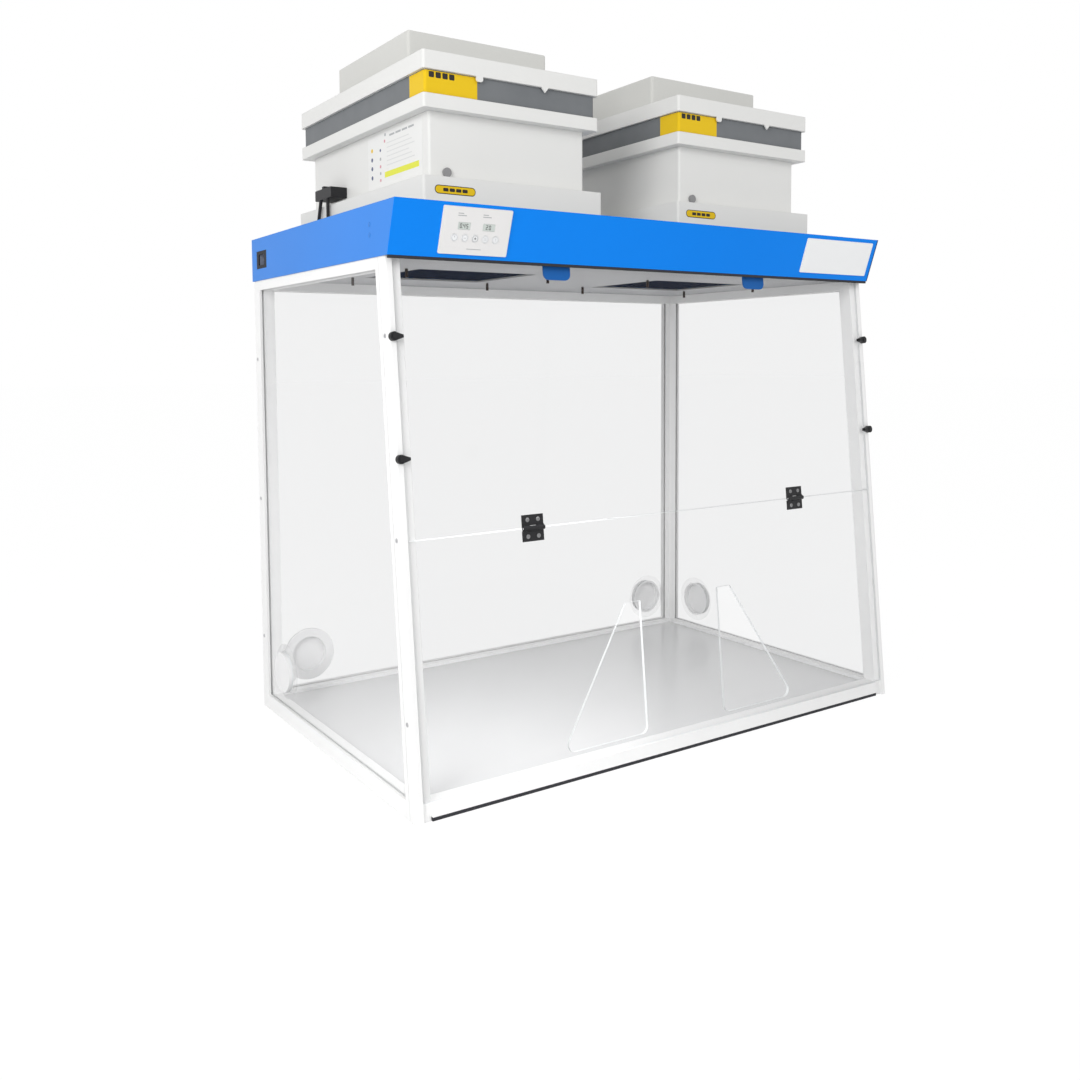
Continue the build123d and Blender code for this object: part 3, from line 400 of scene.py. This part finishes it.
def acrylic(name, across):
    """Clear sheet whose faces look along `across`, with frosted edges."""
    material = bpy.data.materials.new(name)
    material.use_nodes = True
    tree = material.node_tree
    shader = tree.nodes["Principled BSDF"]
    shader.inputs["Base Color"].default_value = SHEET_TINT
    shader.inputs["Roughness"].default_value = 0.0
    shader.inputs["Transmission Weight"].default_value = 1.0
    shader.inputs["IOR"].default_value = SHEET_IOR
    sawn = tree.nodes.new("ShaderNodeBsdfPrincipled")
    skin = add_group(tree, grain, SAWN)
    tree.links.new(skin["Colour"], sawn.inputs["Base Color"])
    tree.links.new(skin["Roughness"], sawn.inputs["Roughness"])
    facing = tree.nodes.new("ShaderNodeVectorMath")
    facing.operation = "DOT_PRODUCT"
    tree.links.new(tree.nodes.new("ShaderNodeTexCoord").outputs["Normal"], facing.inputs[0])
    facing.inputs[1].default_value = across
    square_on = add_math(tree, "ABSOLUTE", facing.outputs["Value"], 0)
    is_face = add_math(tree, "GREATER_THAN", square_on, FACE_LIMIT)
    sheet = mix_shaders(tree, is_face, sawn.outputs["BSDF"], shader.outputs["BSDF"])
    clear = tree.nodes.new("ShaderNodeBsdfTransparent")
    clear.inputs["Color"].default_value = LAMP_TINT
    is_shadow = tree.nodes.new("ShaderNodeLightPath").outputs["Is Shadow Ray"]
    show(tree, mix_shaders(tree, is_shadow, sheet, clear.outputs["BSDF"]))
    finishes[name] = material
    return material


acrylic("Clear acrylic, sides", (1, 0, 0))
acrylic("Clear acrylic, back", (0, 1, 0))
acrylic("Clear acrylic, front", FRONT_OUT)
print("acrylic sheets: 3 directions")

# %% [markdown]
# ## Cable port plugs
# The plugs are clouded plastic. On three of them only the stopper is clouded, and its thin
# flange is almost clear, so that the flange hardly shows against the panel. A ray that slips
# between a panel and the flange lying on it meets the plug from within, and passes through.

# %% The plug material
PORT_CENTRES = ((-0.4925, 0.207, 0.086), (0.4925, 0.207, 0.086), (0.415, 0.293, 0.086))
STOPPER_EDGE, FLANGE_EDGE = 0.0372, 0.055
FLANGE_CLEARNESS, FLANGE_TINT = 0.88, (0.985, 0.985, 0.985, 1)
clouded = finish("Clouded plastic", (0.90, 0.90, 0.90), (0.84, 0.84, 0.845), 0.4, relief=0.3,
                 edge=0.001, specular=0.3)
tree = clouded.node_tree
on_flange = 0.0
for port_centre in PORT_CENTRES:
    ring_mask = add_group(tree, shell, {"Centre": port_centre, "Near": STOPPER_EDGE, "Far": FLANGE_EDGE})
    on_flange = add_math(tree, "MAXIMUM", on_flange, ring_mask["Mask"])
see_through = tree.nodes.new("ShaderNodeBsdfTransparent")
see_through.inputs["Color"].default_value = FLANGE_TINT
from_within = tree.nodes.new("ShaderNodeNewGeometry").outputs["Backfacing"]
flange_share = add_math(tree, "MULTIPLY", on_flange, FLANGE_CLEARNESS)
clear_share = add_math(tree, "MAXIMUM", flange_share, from_within)
plastic = tree.nodes["Principled BSDF"].outputs["BSDF"]
show(tree, mix_shaders(tree, clear_share, plastic, see_through.outputs["BSDF"]))
print("plugs with a clear flange:", len(PORT_CENTRES))

# %% [markdown]
# ## Give each solid its finish
# A table from finish to nodes is short to read and easy to correct. Every solid is listed, so
# a new one that has no finish stops the script here instead of showing up grey.

# %% Finishes on the solids
SIDES = ("left", "right")
COLUMN_HOUSINGS = ("column_base", "filter_module", "column_flange", "fan_module")
wearing = {
    "White powder coat": ["front_left_post", "front_right_post", "rear_left_post", "rear_right_post",
                          "left_bottom_rail", "right_bottom_rail", "front_bottom_rail",
                          "rear_bottom_rail", "top_rails"],
    "Satin blue paint": ["head_casing"],
    "Satin blue paint, painted shade at end": ["front_fascia"],
    "Blue paint, painted shade": ["panel_catches"],
    "Off-white powder coat": [f"{side}_{housing}" for side in SIDES for housing in COLUMN_HOUSINGS],
    "Cap powder coat": ["left_fan_cap", "right_fan_cap"],
    "Grey filter frame": ["left_filter_band", "right_filter_band"],
    "Ceiling grey": ["ceiling_panel"],
    "Work surface laminate": ["work_surface"],
    "Black moulding": ["hinge_upper_leaves", "hinge_lower_leaves", "latch_upper_left",
                       "latch_upper_right", "latch_lower_left", "latch_lower_right", "latch_studs",
                       "fan_connector", "left_impeller", "right_impeller"],
    "Black inlet": ["power_inlet"],
    "Black rubber": ["base_seal_strips", "fascia_gasket"],
    "Grey moulding": ["sampling_plugs"],
    "Bright steel": ["hinge_pins"],
    "Cast aluminium": ["fan_motors"],
    "White film": ["blank_plate"],
    "Matt film": ["control_plate"],
    "Pale display": ["display_windows"],
    "White key": [f"key_{number}" for number in range(1, 6)],
    "Clouded plastic": ["port_plugs"],
    "Green board": ["control_board"],
    "Packed carbon": ["carbon_filters"],
    "Filter fibre": ["prefilter_mats"],
    "Clear acrylic, sides": ["left_panel", "right_panel"],
    "Clear acrylic, back": ["back_panel"],
    "Clear acrylic, front": ["upper_front_panel", "lower_front_flap"],
}
dressed = set()
for finish_name, wearers in wearing.items():
    for wearer in wearers:
        slots = nodes[wearer].data.materials
        slots.clear()
        slots.append(finishes[finish_name])
        dressed.add(wearer)
bare = sorted(set(nodes) - dressed)
if bare:
    raise SystemExit(f"no finish for {bare}")
print("dressed:", len(dressed))

# %% [markdown]
# ## Stickers and print
# Labels, badges and printed marks are thin slabs a fraction of a millimetre thick. Each is an
# outline in millimetres that is laid on a face. All marks of one colour on one face share a
# mesh, because they are printed in one pass.

# %% Outlines and slabs
STICKER = 0.15
ARC_STEPS = 8


def rectangle(width, height, radius=0.0):
    """Corner points of a rectangle that starts at its lower left, with rounded corners."""
    if radius <= 0:
        return [(0, 0), (width, 0), (width, height), (0, height)]
    points = []
    centres = [(width - radius, height - radius), (radius, height - radius), (radius, radius),
               (width - radius, radius)]
    for quarter, (x, y) in enumerate(centres):
        for step in range(ARC_STEPS + 1):
            angle = math.radians(90) * (quarter + step / ARC_STEPS)
            points.append((x + radius * math.cos(angle), y + radius * math.sin(angle)))
    return points


def disc(radius, steps=24):
    """A circle that starts at its lower left."""
    turn = [2 * math.pi * step / steps for step in range(steps)]
    return [(radius + radius * math.cos(a), radius + radius * math.sin(a)) for a in turn]


def moved(outline, across, upward):
    return [(x + across, y + upward) for x, y in outline]


def slab(mesh, face, outline, proud, thickness):
    """Adds one thin slab to a bmesh."""
    low = [mesh.verts.new(face.at(x, y, proud)) for x, y in outline]
    high = [mesh.verts.new(face.at(x, y, proud + thickness)) for x, y in outline]
    mesh.faces.new(list(reversed(low)))
    mesh.faces.new(high)
    for here in range(len(outline)):
        after = (here + 1) % len(outline)
        mesh.faces.new((low[here], low[after], high[after], high[here]))


def hollow_slab(mesh, face, outer, inner, proud, thickness):
    """Adds a thin frame between two outlines with the same number of points."""
    rings = [
        [mesh.verts.new(face.at(x, y, level)) for x, y in outline]
        for outline, level in (
            (outer, proud), (outer, proud + thickness), (inner, proud + thickness), (inner, proud),
        )
    ]
    for here in range(len(outer)):
        after = (here + 1) % len(outer)
        for ring in range(4):
            this, following = rings[ring], rings[(ring + 1) % 4]
            mesh.faces.new((this[here], this[after], following[after], following[here]))


def piece(name, mesh, finish_name, body):
    """Turns a bmesh into an object that rides on a body."""
    bmesh.ops.recalc_face_normals(mesh, faces=mesh.faces)
    data = bpy.data.meshes.new(name)
    mesh.to_mesh(data)
    mesh.free()
    data.materials.append(finishes[finish_name])
    made = bpy.data.objects.new(name, data)
    bpy.context.scene.collection.objects.link(made)
    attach(made, body)
    return made


def printed(name, face, outlines, finish_name, body="hood", proud=0.0,
            thickness=STICKER):
    """One piece of print: several slabs on one face."""
    mesh = bmesh.new()
    for outline in outlines:
        slab(mesh, face, outline, proud, thickness)
    return piece(name, mesh, finish_name, body)


# %% [markdown]
# ### Yellow labels round the column corners
# Each grey band carries a yellow label that wraps its front left corner. It is a strip that
# follows the corner: along the side, round a small arc and along the front. A row of dark bars
# at its top stands for a word.

# %% Corner labels
LABEL_FRONT, LABEL_SIDE = 90, 48
CORNER_ROUND = 4


def corner_label(side):
    """A strip round the front left corner of a filter band."""
    band = f"{side}_filter_band"
    flange_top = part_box(f"{side}_column_flange")[1].z
    low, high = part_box(band)
    radius = CORNER_ROUND * MM
    centre = Vector((low.x + radius, low.y + radius))
    path = [(Vector((low.x, low.y + LABEL_SIDE * MM)), Vector((-1, 0)))]
    for step in range(ARC_STEPS + 1):
        angle = math.pi * (1 + 0.5 * step / ARC_STEPS)
        out = Vector((math.cos(angle), math.sin(angle)))
        path.append((centre + out * radius, out))
    path.append((Vector((low.x + LABEL_FRONT * MM, low.y)), Vector((0, -1))))
    bottom, top = flange_top + 1 * MM, high.z - 1 * MM
    mesh = bmesh.new()
    rings = []
    for point, out in path:
        outer = point + out * STICKER * MM
        rings.append([mesh.verts.new((p.x, p.y, z)) for p, z in
                      ((point, bottom), (outer, bottom), (outer, top), (point, top))])
    for first, second in zip(rings, rings[1:]):
        for here in range(4):
            after = (here + 1) % 4
            mesh.faces.new((first[here], first[after], second[after], second[here]))
    mesh.faces.new(rings[0])
    mesh.faces.new(list(reversed(rings[-1])))
    return piece(f"{side}_corner_label", mesh, "Yellow print", "hood")


LABEL_BARS, BAR_PITCH, BAR_START, BAR_UP = 4, 11.5, 7, 42
LABEL_BAR = (9, 8.5, 1.5)
PRINT_FILM = 0.05
for side in SIDES:
    corner_label(side)
    band_front = Face(f"{side}_filter_band")
    bars = [moved(rectangle(*LABEL_BAR), BAR_START + BAR_PITCH * number, BAR_UP)
            for number in range(LABEL_BARS)]
    printed(f"{side}_corner_label_bars", band_front, bars, "Dark print",
            proud=STICKER, thickness=PRINT_FILM)
print("corner labels: 2")

# %% [markdown]
# ### Badges on the column bases
# A long yellow badge with rounded ends and a dark rim sits low on the front of each base. The
# real one carries a name, so here its middle holds only four plain dark bars.

# %% Badges
BADGE_ACROSS, BADGE_UP, BADGE_WIDTH, BADGE_HEIGHT, BADGE_RIM = 19, 26, 70, 13, 1.2
BADGE_BAR, BADGE_BARS = (9, 5, 1.5), 4
BADGE_BAR_START, BADGE_BAR_PITCH, BADGE_BAR_UP = 14, 11, 4
for side in SIDES:
    base = Face(f"{side}_column_base")
    outer = moved(rectangle(BADGE_WIDTH, BADGE_HEIGHT, BADGE_HEIGHT / 2 - 0.1), BADGE_ACROSS, BADGE_UP)
    printed(f"{side}_badge_rim", base, [outer], "Dark print")
    inner = rectangle(BADGE_WIDTH - 2 * BADGE_RIM, BADGE_HEIGHT - 2 * BADGE_RIM,
                      BADGE_HEIGHT / 2 - BADGE_RIM - 0.1)
    printed(f"{side}_badge", base, [moved(inner, BADGE_ACROSS + BADGE_RIM, BADGE_UP + BADGE_RIM)],
            "Yellow print", proud=STICKER)
    bars = [moved(rectangle(*BADGE_BAR), BADGE_ACROSS + BADGE_BAR_START + BADGE_BAR_PITCH * number,
                  BADGE_UP + BADGE_BAR_UP) for number in range(BADGE_BARS)]
    printed(f"{side}_badge_bars", base, bars, "Dark print", proud=2 * STICKER)
print("badges: 2")

# %% [markdown]
# ### Side label of the left column
# A pale label with two columns of small round marks, a heading, some faint lines and one lime
# bar. Lines of text become plain bars, which read the same from a step away. Each mark is
# given by its radius and its place on the label.

# %% Side label
module_side = Face("left_filter_module", out=(-1, 0, 0))
LABEL_ACROSS, LABEL_UP, LABEL_WIDTH, LABEL_HEIGHT = 232, 6, 191, 88
printed("side_label", module_side,
        [moved(rectangle(LABEL_WIDTH, LABEL_HEIGHT, 2), LABEL_ACROSS, LABEL_UP)],
        "Label film")
marks = {
    "Yellow print": [(3.4, 12, 66)],
    "Slate print": [(3.4, 12, 22), (3.4, 12, 37), (3.4, 12, 51), (2.6, 44, 62)],
    "Rose print": [(2.6, 44, 36), (2.6, 44, 14), (2.6, 60, 74)],
    "Grey print": [(2.6, 44, 25), (2.6, 44, 48), (2.6, 62, 84)],
}
for ink_name, places in marks.items():
    dots = [moved(disc(radius, 16), LABEL_ACROSS + x, LABEL_UP + y - radius) for radius, x, y in places]
    printed(f"side_label_{ink_name.split()[0].lower()}_dots", module_side, dots, ink_name,
            proud=STICKER)
LINE_LENGTHS, LINE_HEIGHT = (96, 87, 78, 96, 87, 78), 1.4
LINE_START, LINE_UP, LINE_PITCH = 70, 34, 7
lines = [moved(rectangle(length, LINE_HEIGHT), LABEL_ACROSS + LINE_START,
               LABEL_UP + LINE_UP + LINE_PITCH * row)
         for row, length in enumerate(LINE_LENGTHS)]
printed("side_label_lines", module_side, lines, "Faint print", proud=STICKER)
WORD, WORDS, WORD_START, WORD_PITCH, WORD_UP = (18, 3), 4, 80, 22, 79
printed("side_label_heading", module_side,
        [moved(rectangle(*WORD), LABEL_ACROSS + WORD_START + WORD_PITCH * word, LABEL_UP + WORD_UP)
         for word in range(WORDS)],
        "Grey print", proud=STICKER)
LIME_BAR, LIME_START, LIME_UP = (118, 9, 1), 62, 16
printed("side_label_bar", module_side,
        [moved(rectangle(*LIME_BAR), LABEL_ACROSS + LIME_START, LABEL_UP + LIME_UP)],
        "Lime print", proud=STICKER)
print("side label:", LABEL_WIDTH, "x", LABEL_HEIGHT, "mm")

# %% [markdown]
# ## Control plate
# The plate is white film with two pale displays and five keys. Digits are built from seven
# bars each, as on a real display, and every key carries a small generic sign inside a ring.

# %% Digits and printed lines
control = Face("control_plate", FASCIA_UP, FASCIA_OUT)
windows = Face("display_windows", FASCIA_UP, FASCIA_OUT)
SEGMENTS = {"0": "abcdef", "2": "abged", "4": "fgbc", "5": "afgcd"}
DIGIT_WIDTH, DIGIT_HEIGHT, SEGMENT, DIGIT_UP = 3.2, 6.4, 0.8, 1.8
DISPLAY_PITCH = 41


def digit(sign, across):
    """Lit bars of one digit."""
    half = DIGIT_HEIGHT / 2
    flat, tall = (DIGIT_WIDTH, SEGMENT), (SEGMENT, half)
    places = {
        "a": (0, DIGIT_HEIGHT - SEGMENT, flat), "g": (0, half - SEGMENT / 2, flat), "d": (0, 0, flat),
        "f": (0, half, tall), "b": (DIGIT_WIDTH - SEGMENT, half, tall),
        "e": (0, 0, tall), "c": (DIGIT_WIDTH - SEGMENT, 0, tall),
    }
    return [moved(rectangle(*size), across + x, DIGIT_UP + y)
            for x, y, size in (places[letter] for letter in SEGMENTS[sign])]


first_reading = digit("0", 3) + digit("4", 8.4) + digit("5", 13.2)
first_reading.append(moved(rectangle(SEGMENT, SEGMENT), 7, DIGIT_UP))
second_reading = digit("2", DISPLAY_PITCH + 5) + digit("0", DISPLAY_PITCH + 10)
printed("display_digits", windows, first_reading + second_reading, "Dark print", thickness=PRINT_FILM)
CAPTION_START, CAPTION_HEIGHT, FOOT_LINE = 24, 1.2, (24, 1.0)
CAPTION_ROWS = ((14, 55), (9, 58))
captions = [moved(rectangle(length, CAPTION_HEIGHT), CAPTION_START + DISPLAY_PITCH * column, upward)
            for length, upward in CAPTION_ROWS for column in range(2)]
captions.append(moved(rectangle(*FOOT_LINE), 45, 8))
printed("control_captions", control, captions, "Grey print")
print("display digits:", 5)

# %% [markdown]
# Each key gets its sign as a piece of its own that rides on the key, so it travels with the key
# when it is pressed. The bars of a sign are given from the centre of its key: how far across and
# upward they start, their width and their height.

# %% Key signs
RING_RADIUS, RING_WIDTH, SIGN_THICKNESS = 4.6, 0.45, 0.08
SIGN_BARS = {
    1: [(-0.4, 0.2, 0.8, 2.6)],
    2: [(-2, -0.4, 4, 0.8)],
    3: [(-2, -0.4, 4, 0.8), (-0.4, -2, 0.8, 4)],
    4: [(-1.8, 0.6, 3.6, 0.7), (-1.8, -1.3, 3.6, 0.7)],
    5: [(-0.5, -0.2, 1, 2.4), (-0.5, -1.9, 1, 0.9)],
}


def ring(face, mesh, radius, width, centre):
    """A thin printed ring."""
    outer = moved(disc(radius), centre - radius, centre - radius)
    inner_radius = radius - width
    inner = moved(disc(inner_radius), centre - inner_radius, centre - inner_radius)
    hollow_slab(mesh, face, outer, inner, 0, SIGN_THICKNESS)


for number, sign_bars in SIGN_BARS.items():
    key = Face(f"key_{number}", FASCIA_UP, FASCIA_OUT)
    centre = key.width / MM / 2
    mesh = bmesh.new()
    ring(key, mesh, RING_RADIUS, RING_WIDTH, centre)
    for across, upward, width, height in sign_bars:
        bar = moved(rectangle(width, height), centre + across, centre + upward)
        slab(mesh, key, bar, 0, SIGN_THICKNESS)
    piece(f"key_sign_{number}", mesh, "Dark print" if number == 3 else "Grey print",
          f"control_key_{number}")
print("key signs: 5")

# %% [markdown]
# ## Screws
# Small pan-head screws hold the profiles from the side, and two more sit near the front of
# each side of the head. One lathe profile makes the domed head with its round socket. The screws
# of the head are countersunk, so their profile is almost flat.

# %% Screws on the sides
SCREW_PROFILE = [(0, 0.4), (1.0, 0.4), (1.2, 1.15), (2.4, 1.0), (3.2, 0.6), (3.5, 0.0)]
SCREW_STEPS = 20


def screw(mesh, place, out, rise=1.0):
    """Revolves the profile about the outward direction at a place; rise scales its height."""
    side = out.orthogonal().normalized()
    other = out.cross(side)
    rings = []
    for radius, height in SCREW_PROFILE:
        centre = place + out * rise * height * MM
        turns = [2 * math.pi * step / SCREW_STEPS for step in range(1 if radius == 0 else SCREW_STEPS)]
        rings.append([
            mesh.verts.new(centre + (side * math.cos(turn) + other * math.sin(turn)) * radius * MM)
            for turn in turns
        ])
    for inner, outer in zip(rings, rings[1:]):
        for here in range(SCREW_STEPS):
            after = (here + 1) % SCREW_STEPS
            if len(inner) == 1:
                mesh.faces.new((inner[0], outer[here], outer[after]))
            else:
                mesh.faces.new((inner[here], outer[here], outer[after], inner[after]))
    mesh.faces.new(list(reversed(rings[-1])))


FRONT_SCREWS, REAR_SCREWS, HEAD_SCREWS = (137, 391, 675), (133, 389, 644), (32, 47)
FRONT_INSET, REAR_INSET, HEAD_INSET = 11, 12, 116
COUNTERSUNK_RISE = 0.12
mesh, head_mesh = bmesh.new(), bmesh.new()
count = 0
for side, sign in zip(SIDES, (-1, 1)):
    out = Vector((sign, 0, 0))
    front = Face(f"front_{side}_post", FRONT_UP, out)
    rear = Face(f"rear_{side}_post", out=out)
    head = Face("head_casing", out=out)
    for height in FRONT_SCREWS:
        across = front.width / MM - FRONT_INSET if sign < 0 else FRONT_INSET
        screw(mesh, front.at(across, height / FRONT_UP.z), out)
    for height in REAR_SCREWS:
        across = REAR_INSET if sign < 0 else rear.width / MM - REAR_INSET
        screw(mesh, rear.at(across, height), out)
    for height in HEAD_SCREWS:
        place = Vector((sign * head.level, post_foot.y + HEAD_INSET * MM, head.bottom + height * MM))
        screw(head_mesh, place, out, COUNTERSUNK_RISE)
    count += len(FRONT_SCREWS) + len(REAR_SCREWS) + len(HEAD_SCREWS)
piece("side_screws", mesh, "Bright steel", "hood")
piece("head_screws", head_mesh, "Satin blue paint", "hood")
print("screws:", count)

# %% [markdown]
# Two countersunk screws hold each hinge leaf. Those of the lower leaves ride on the flap.

# %% Hinge screws
LEAF_WIDTH, LEAF_PROUD = 38, 2
LEAF_SCREW_ACROSS, LEAF_SCREW_UP = 9.5, 12.5
joint_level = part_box("lower_front_flap")[1]
LEAF_SIDES = (("hinge_upper_leaves", "hood", 1), ("hinge_lower_leaves", "flap", -1))
for node_name, body, from_joint in LEAF_SIDES:
    leaves = Face(node_name, FRONT_UP, FRONT_OUT)
    left_middle = leaves.left + LEAF_WIDTH / 2 * MM
    right_middle = leaves.left + leaves.width - LEAF_WIDTH / 2 * MM
    mesh = bmesh.new()
    for middle in (left_middle, right_middle):
        for across in (-LEAF_SCREW_ACROSS, LEAF_SCREW_ACROSS):
            foot = Vector((middle + across * MM, joint_level.y, joint_level.z))
            foot += FRONT_UP * LEAF_SCREW_UP * from_joint * MM
            foot += FRONT_OUT * ((post_foot - foot).dot(FRONT_OUT) + LEAF_PROUD * MM)
            screw(mesh, foot, FRONT_OUT)
    piece(f"{node_name}_screws", mesh, "Grey moulding", body)
print("hinge screws: 8")

# %% [markdown]
# ## Filter mats
# The mats over the intakes are loose fibre, seen from below through the two square openings.
# Each is a slab whose faces are divided and pushed in and out a little by noise.

# %% Fibre mats
MAT_STEP, MAT_RELIEF, MAT_GRAIN = 5, 0.9, 90
MAT_EXTRA_WIDTH = 26


def fibre_mat(name, low, high):
    """A slab with an uneven surface that stays inside its box."""
    mesh = bmesh.new()
    across = max(2, round((high.x - low.x) / (MAT_STEP * MM)))
    along = max(2, round((high.y - low.y) / (MAT_STEP * MM)))
    sheets = []
    for level, direction in ((low.z, 1), (high.z, -1)):
        sheet = []
        for row in range(along + 1):
            line = []
            for column in range(across + 1):
                x = low.x + (high.x - low.x) * column / across
                y = low.y + (high.y - low.y) * row / along
                push = (noise.noise(Vector((x, y, level)) * MAT_GRAIN) + 1) * MAT_RELIEF * MM
                line.append(mesh.verts.new((x, y, level + direction * push)))
            sheet.append(line)
        sheets.append(sheet)
    under, over = sheets
    for row in range(along):
        for column in range(across):
            for sheet in sheets:
                mesh.faces.new((sheet[row][column], sheet[row][column + 1],
                                sheet[row + 1][column + 1], sheet[row + 1][column]))
    for column in range(across):
        for row in (0, along):
            mesh.faces.new((under[row][column], under[row][column + 1],
                            over[row][column + 1], over[row][column]))
    for row in range(along):
        for column in (0, across):
            mesh.faces.new((under[row][column], under[row + 1][column],
                            over[row + 1][column], over[row][column]))
    return piece(name, mesh, "Filter fibre", "hood")


mats_low, mats_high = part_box("prefilter_mats")
mat_width = mats_high.y - mats_low.y + MAT_EXTRA_WIDTH * MM
left_high = Vector((mats_low.x + mat_width, mats_high.y, mats_high.z))
right_low = Vector((mats_high.x - mat_width, mats_low.y, mats_low.z))
left_mat = fibre_mat("left_fibre_mat", mats_low, left_high)
right_mat = fibre_mat("right_fibre_mat", right_low, mats_high)
for mat in (left_mat, right_mat):
    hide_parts("prefilter_mats")
print("fibre mats: 2")

# %% [markdown]
# ## Studio
# The hood stands on a white floor before a white world. The world and the floor are a little
# dimmer as lamps than they are to the eye: what the camera, a reflection or a clear panel sees
# is plain white, and the light that falls on the hood stays at a level that keeps its colours.

# %% World and floor
WORLD_LIGHT = 0.6
world = bpy.data.worlds.new("Studio")
bpy.context.scene.world = world
world.use_nodes = True
tree = world.node_tree
background = tree.nodes["Background"]
background.inputs["Color"].default_value = (1, 1, 1, 1)


def seen_directly(tree):
    """1 for camera, glossy and transmission rays, else 0."""
    path = tree.nodes.new("ShaderNodeLightPath").outputs
    eye = add_math(tree, "MAXIMUM", path["Is Camera Ray"], path["Is Glossy Ray"])
    return add_math(tree, "MAXIMUM", eye, path["Is Transmission Ray"])


extra = add_math(tree, "MULTIPLY", seen_directly(tree), 1 - WORLD_LIGHT)
strength = add_math(tree, "ADD", extra, WORLD_LIGHT)
tree.links.new(strength, background.inputs["Strength"])

FLOOR_HALF = 30
FLOOR_SHARE, FLOOR_GLOW = 0.93, 1.03
FLOOR_COLOUR = (0.92, 0.92, 0.92, 1)
floor_data = bpy.data.meshes.new("floor")
floor_corners = [(x * FLOOR_HALF, y * FLOOR_HALF, 0) for x, y in ((-1, -1), (1, -1), (1, 1), (-1, 1))]
floor_data.from_pydata(floor_corners, [], [(0, 1, 2, 3)])
floor = bpy.data.objects.new("floor", floor_data)
bpy.context.scene.collection.objects.link(floor)
floor_paint = bpy.data.materials.new("Studio floor")
floor_paint.use_nodes = True
tree = floor_paint.node_tree
paper = tree.nodes["Principled BSDF"]
paper.inputs["Base Color"].default_value = FLOOR_COLOUR
paper.inputs["Roughness"].default_value = 0.9
paper.inputs["Specular IOR Level"].default_value = 0.0
glow = tree.nodes.new("ShaderNodeEmission")
glow.inputs["Color"].default_value = (1, 1, 1, 1)
glow.inputs["Strength"].default_value = FLOOR_GLOW
glow_share = add_math(tree, "MULTIPLY", seen_directly(tree), FLOOR_SHARE)
show(tree, mix_shaders(tree, glow_share, paper.outputs["BSDF"], glow.outputs["Emission"]))
floor_data.materials.append(floor_paint)
print("world light:", WORLD_LIGHT)

# %% [markdown]
# Soft lamps give the shapes their shading: a low broad one at the left front, which puts the gap
# between the columns in shade, a weak one in front, and a small one under the ceiling that makes
# the front left of the work surface the brightest. No lamp shows in glass or in a reflection.

# %% Lamps
def lamp(name, place, aim, size, power, spread=180):
    """A square area lamp that looks at a point, with its spread in degrees."""
    light = bpy.data.lights.new(name, "AREA")
    light.size = size
    light.energy = power
    light.spread = math.radians(spread)
    holder = bpy.data.objects.new(name, light)
    holder.location = place
    holder.rotation_euler = (Vector(aim) - Vector(place)).to_track_quat("-Z", "Y").to_euler()
    holder.visible_camera = False
    holder.visible_glossy = False
    holder.visible_transmission = False
    bpy.context.scene.collection.objects.link(holder)
    return holder


lamp("left_soft_lamp", (-2.5, -1.45, 1.5), (0, 0, 0.85), 1.3, 38)
lamp("front_soft_lamp", (0.9, -3.0, 2.0), (0, 0, 0.6), 1.6, 14)
lamp("chamber_lamp", (-0.3, -0.2, 0.74), (-0.3, -0.22, 0), 0.2, 0.7, spread=90)
print("lamps: 3")

# %% [markdown]
# ## Camera
# The camera stands near the left front corner at the height of the front panels, turned to the
# right and slightly down. The lens is a little wide, which gives the strong perspective, and
# the frame is shifted so that the hood sits high in the picture.

# %% Camera
CAMERA_PLACE = (-1.1347, -1.538, 0.6381)
TURN, TILT, ROLL = -33.3, -3.8, -0.4
camera_data = bpy.data.cameras.new("camera")
camera_data.sensor_width = 36
camera_data.lens = 34.31
camera_data.shift_x = 0.0177
camera_data.shift_y = -0.1026
camera_data.clip_start, camera_data.clip_end = 0.01, 200
camera = bpy.data.objects.new("camera", camera_data)
bpy.context.scene.collection.objects.link(camera)
camera.matrix_world = (
    Matrix.Translation(CAMERA_PLACE)
    @ Matrix.Rotation(math.radians(TURN), 4, "Z")
    @ Matrix.Rotation(math.radians(90 + TILT), 4, "X")
    @ Matrix.Rotation(math.radians(ROLL), 4, "Z")
)
bpy.context.scene.camera = camera
bpy.context.scene.view_settings.view_transform = "Standard"
print("lens:", camera_data.lens, "mm")
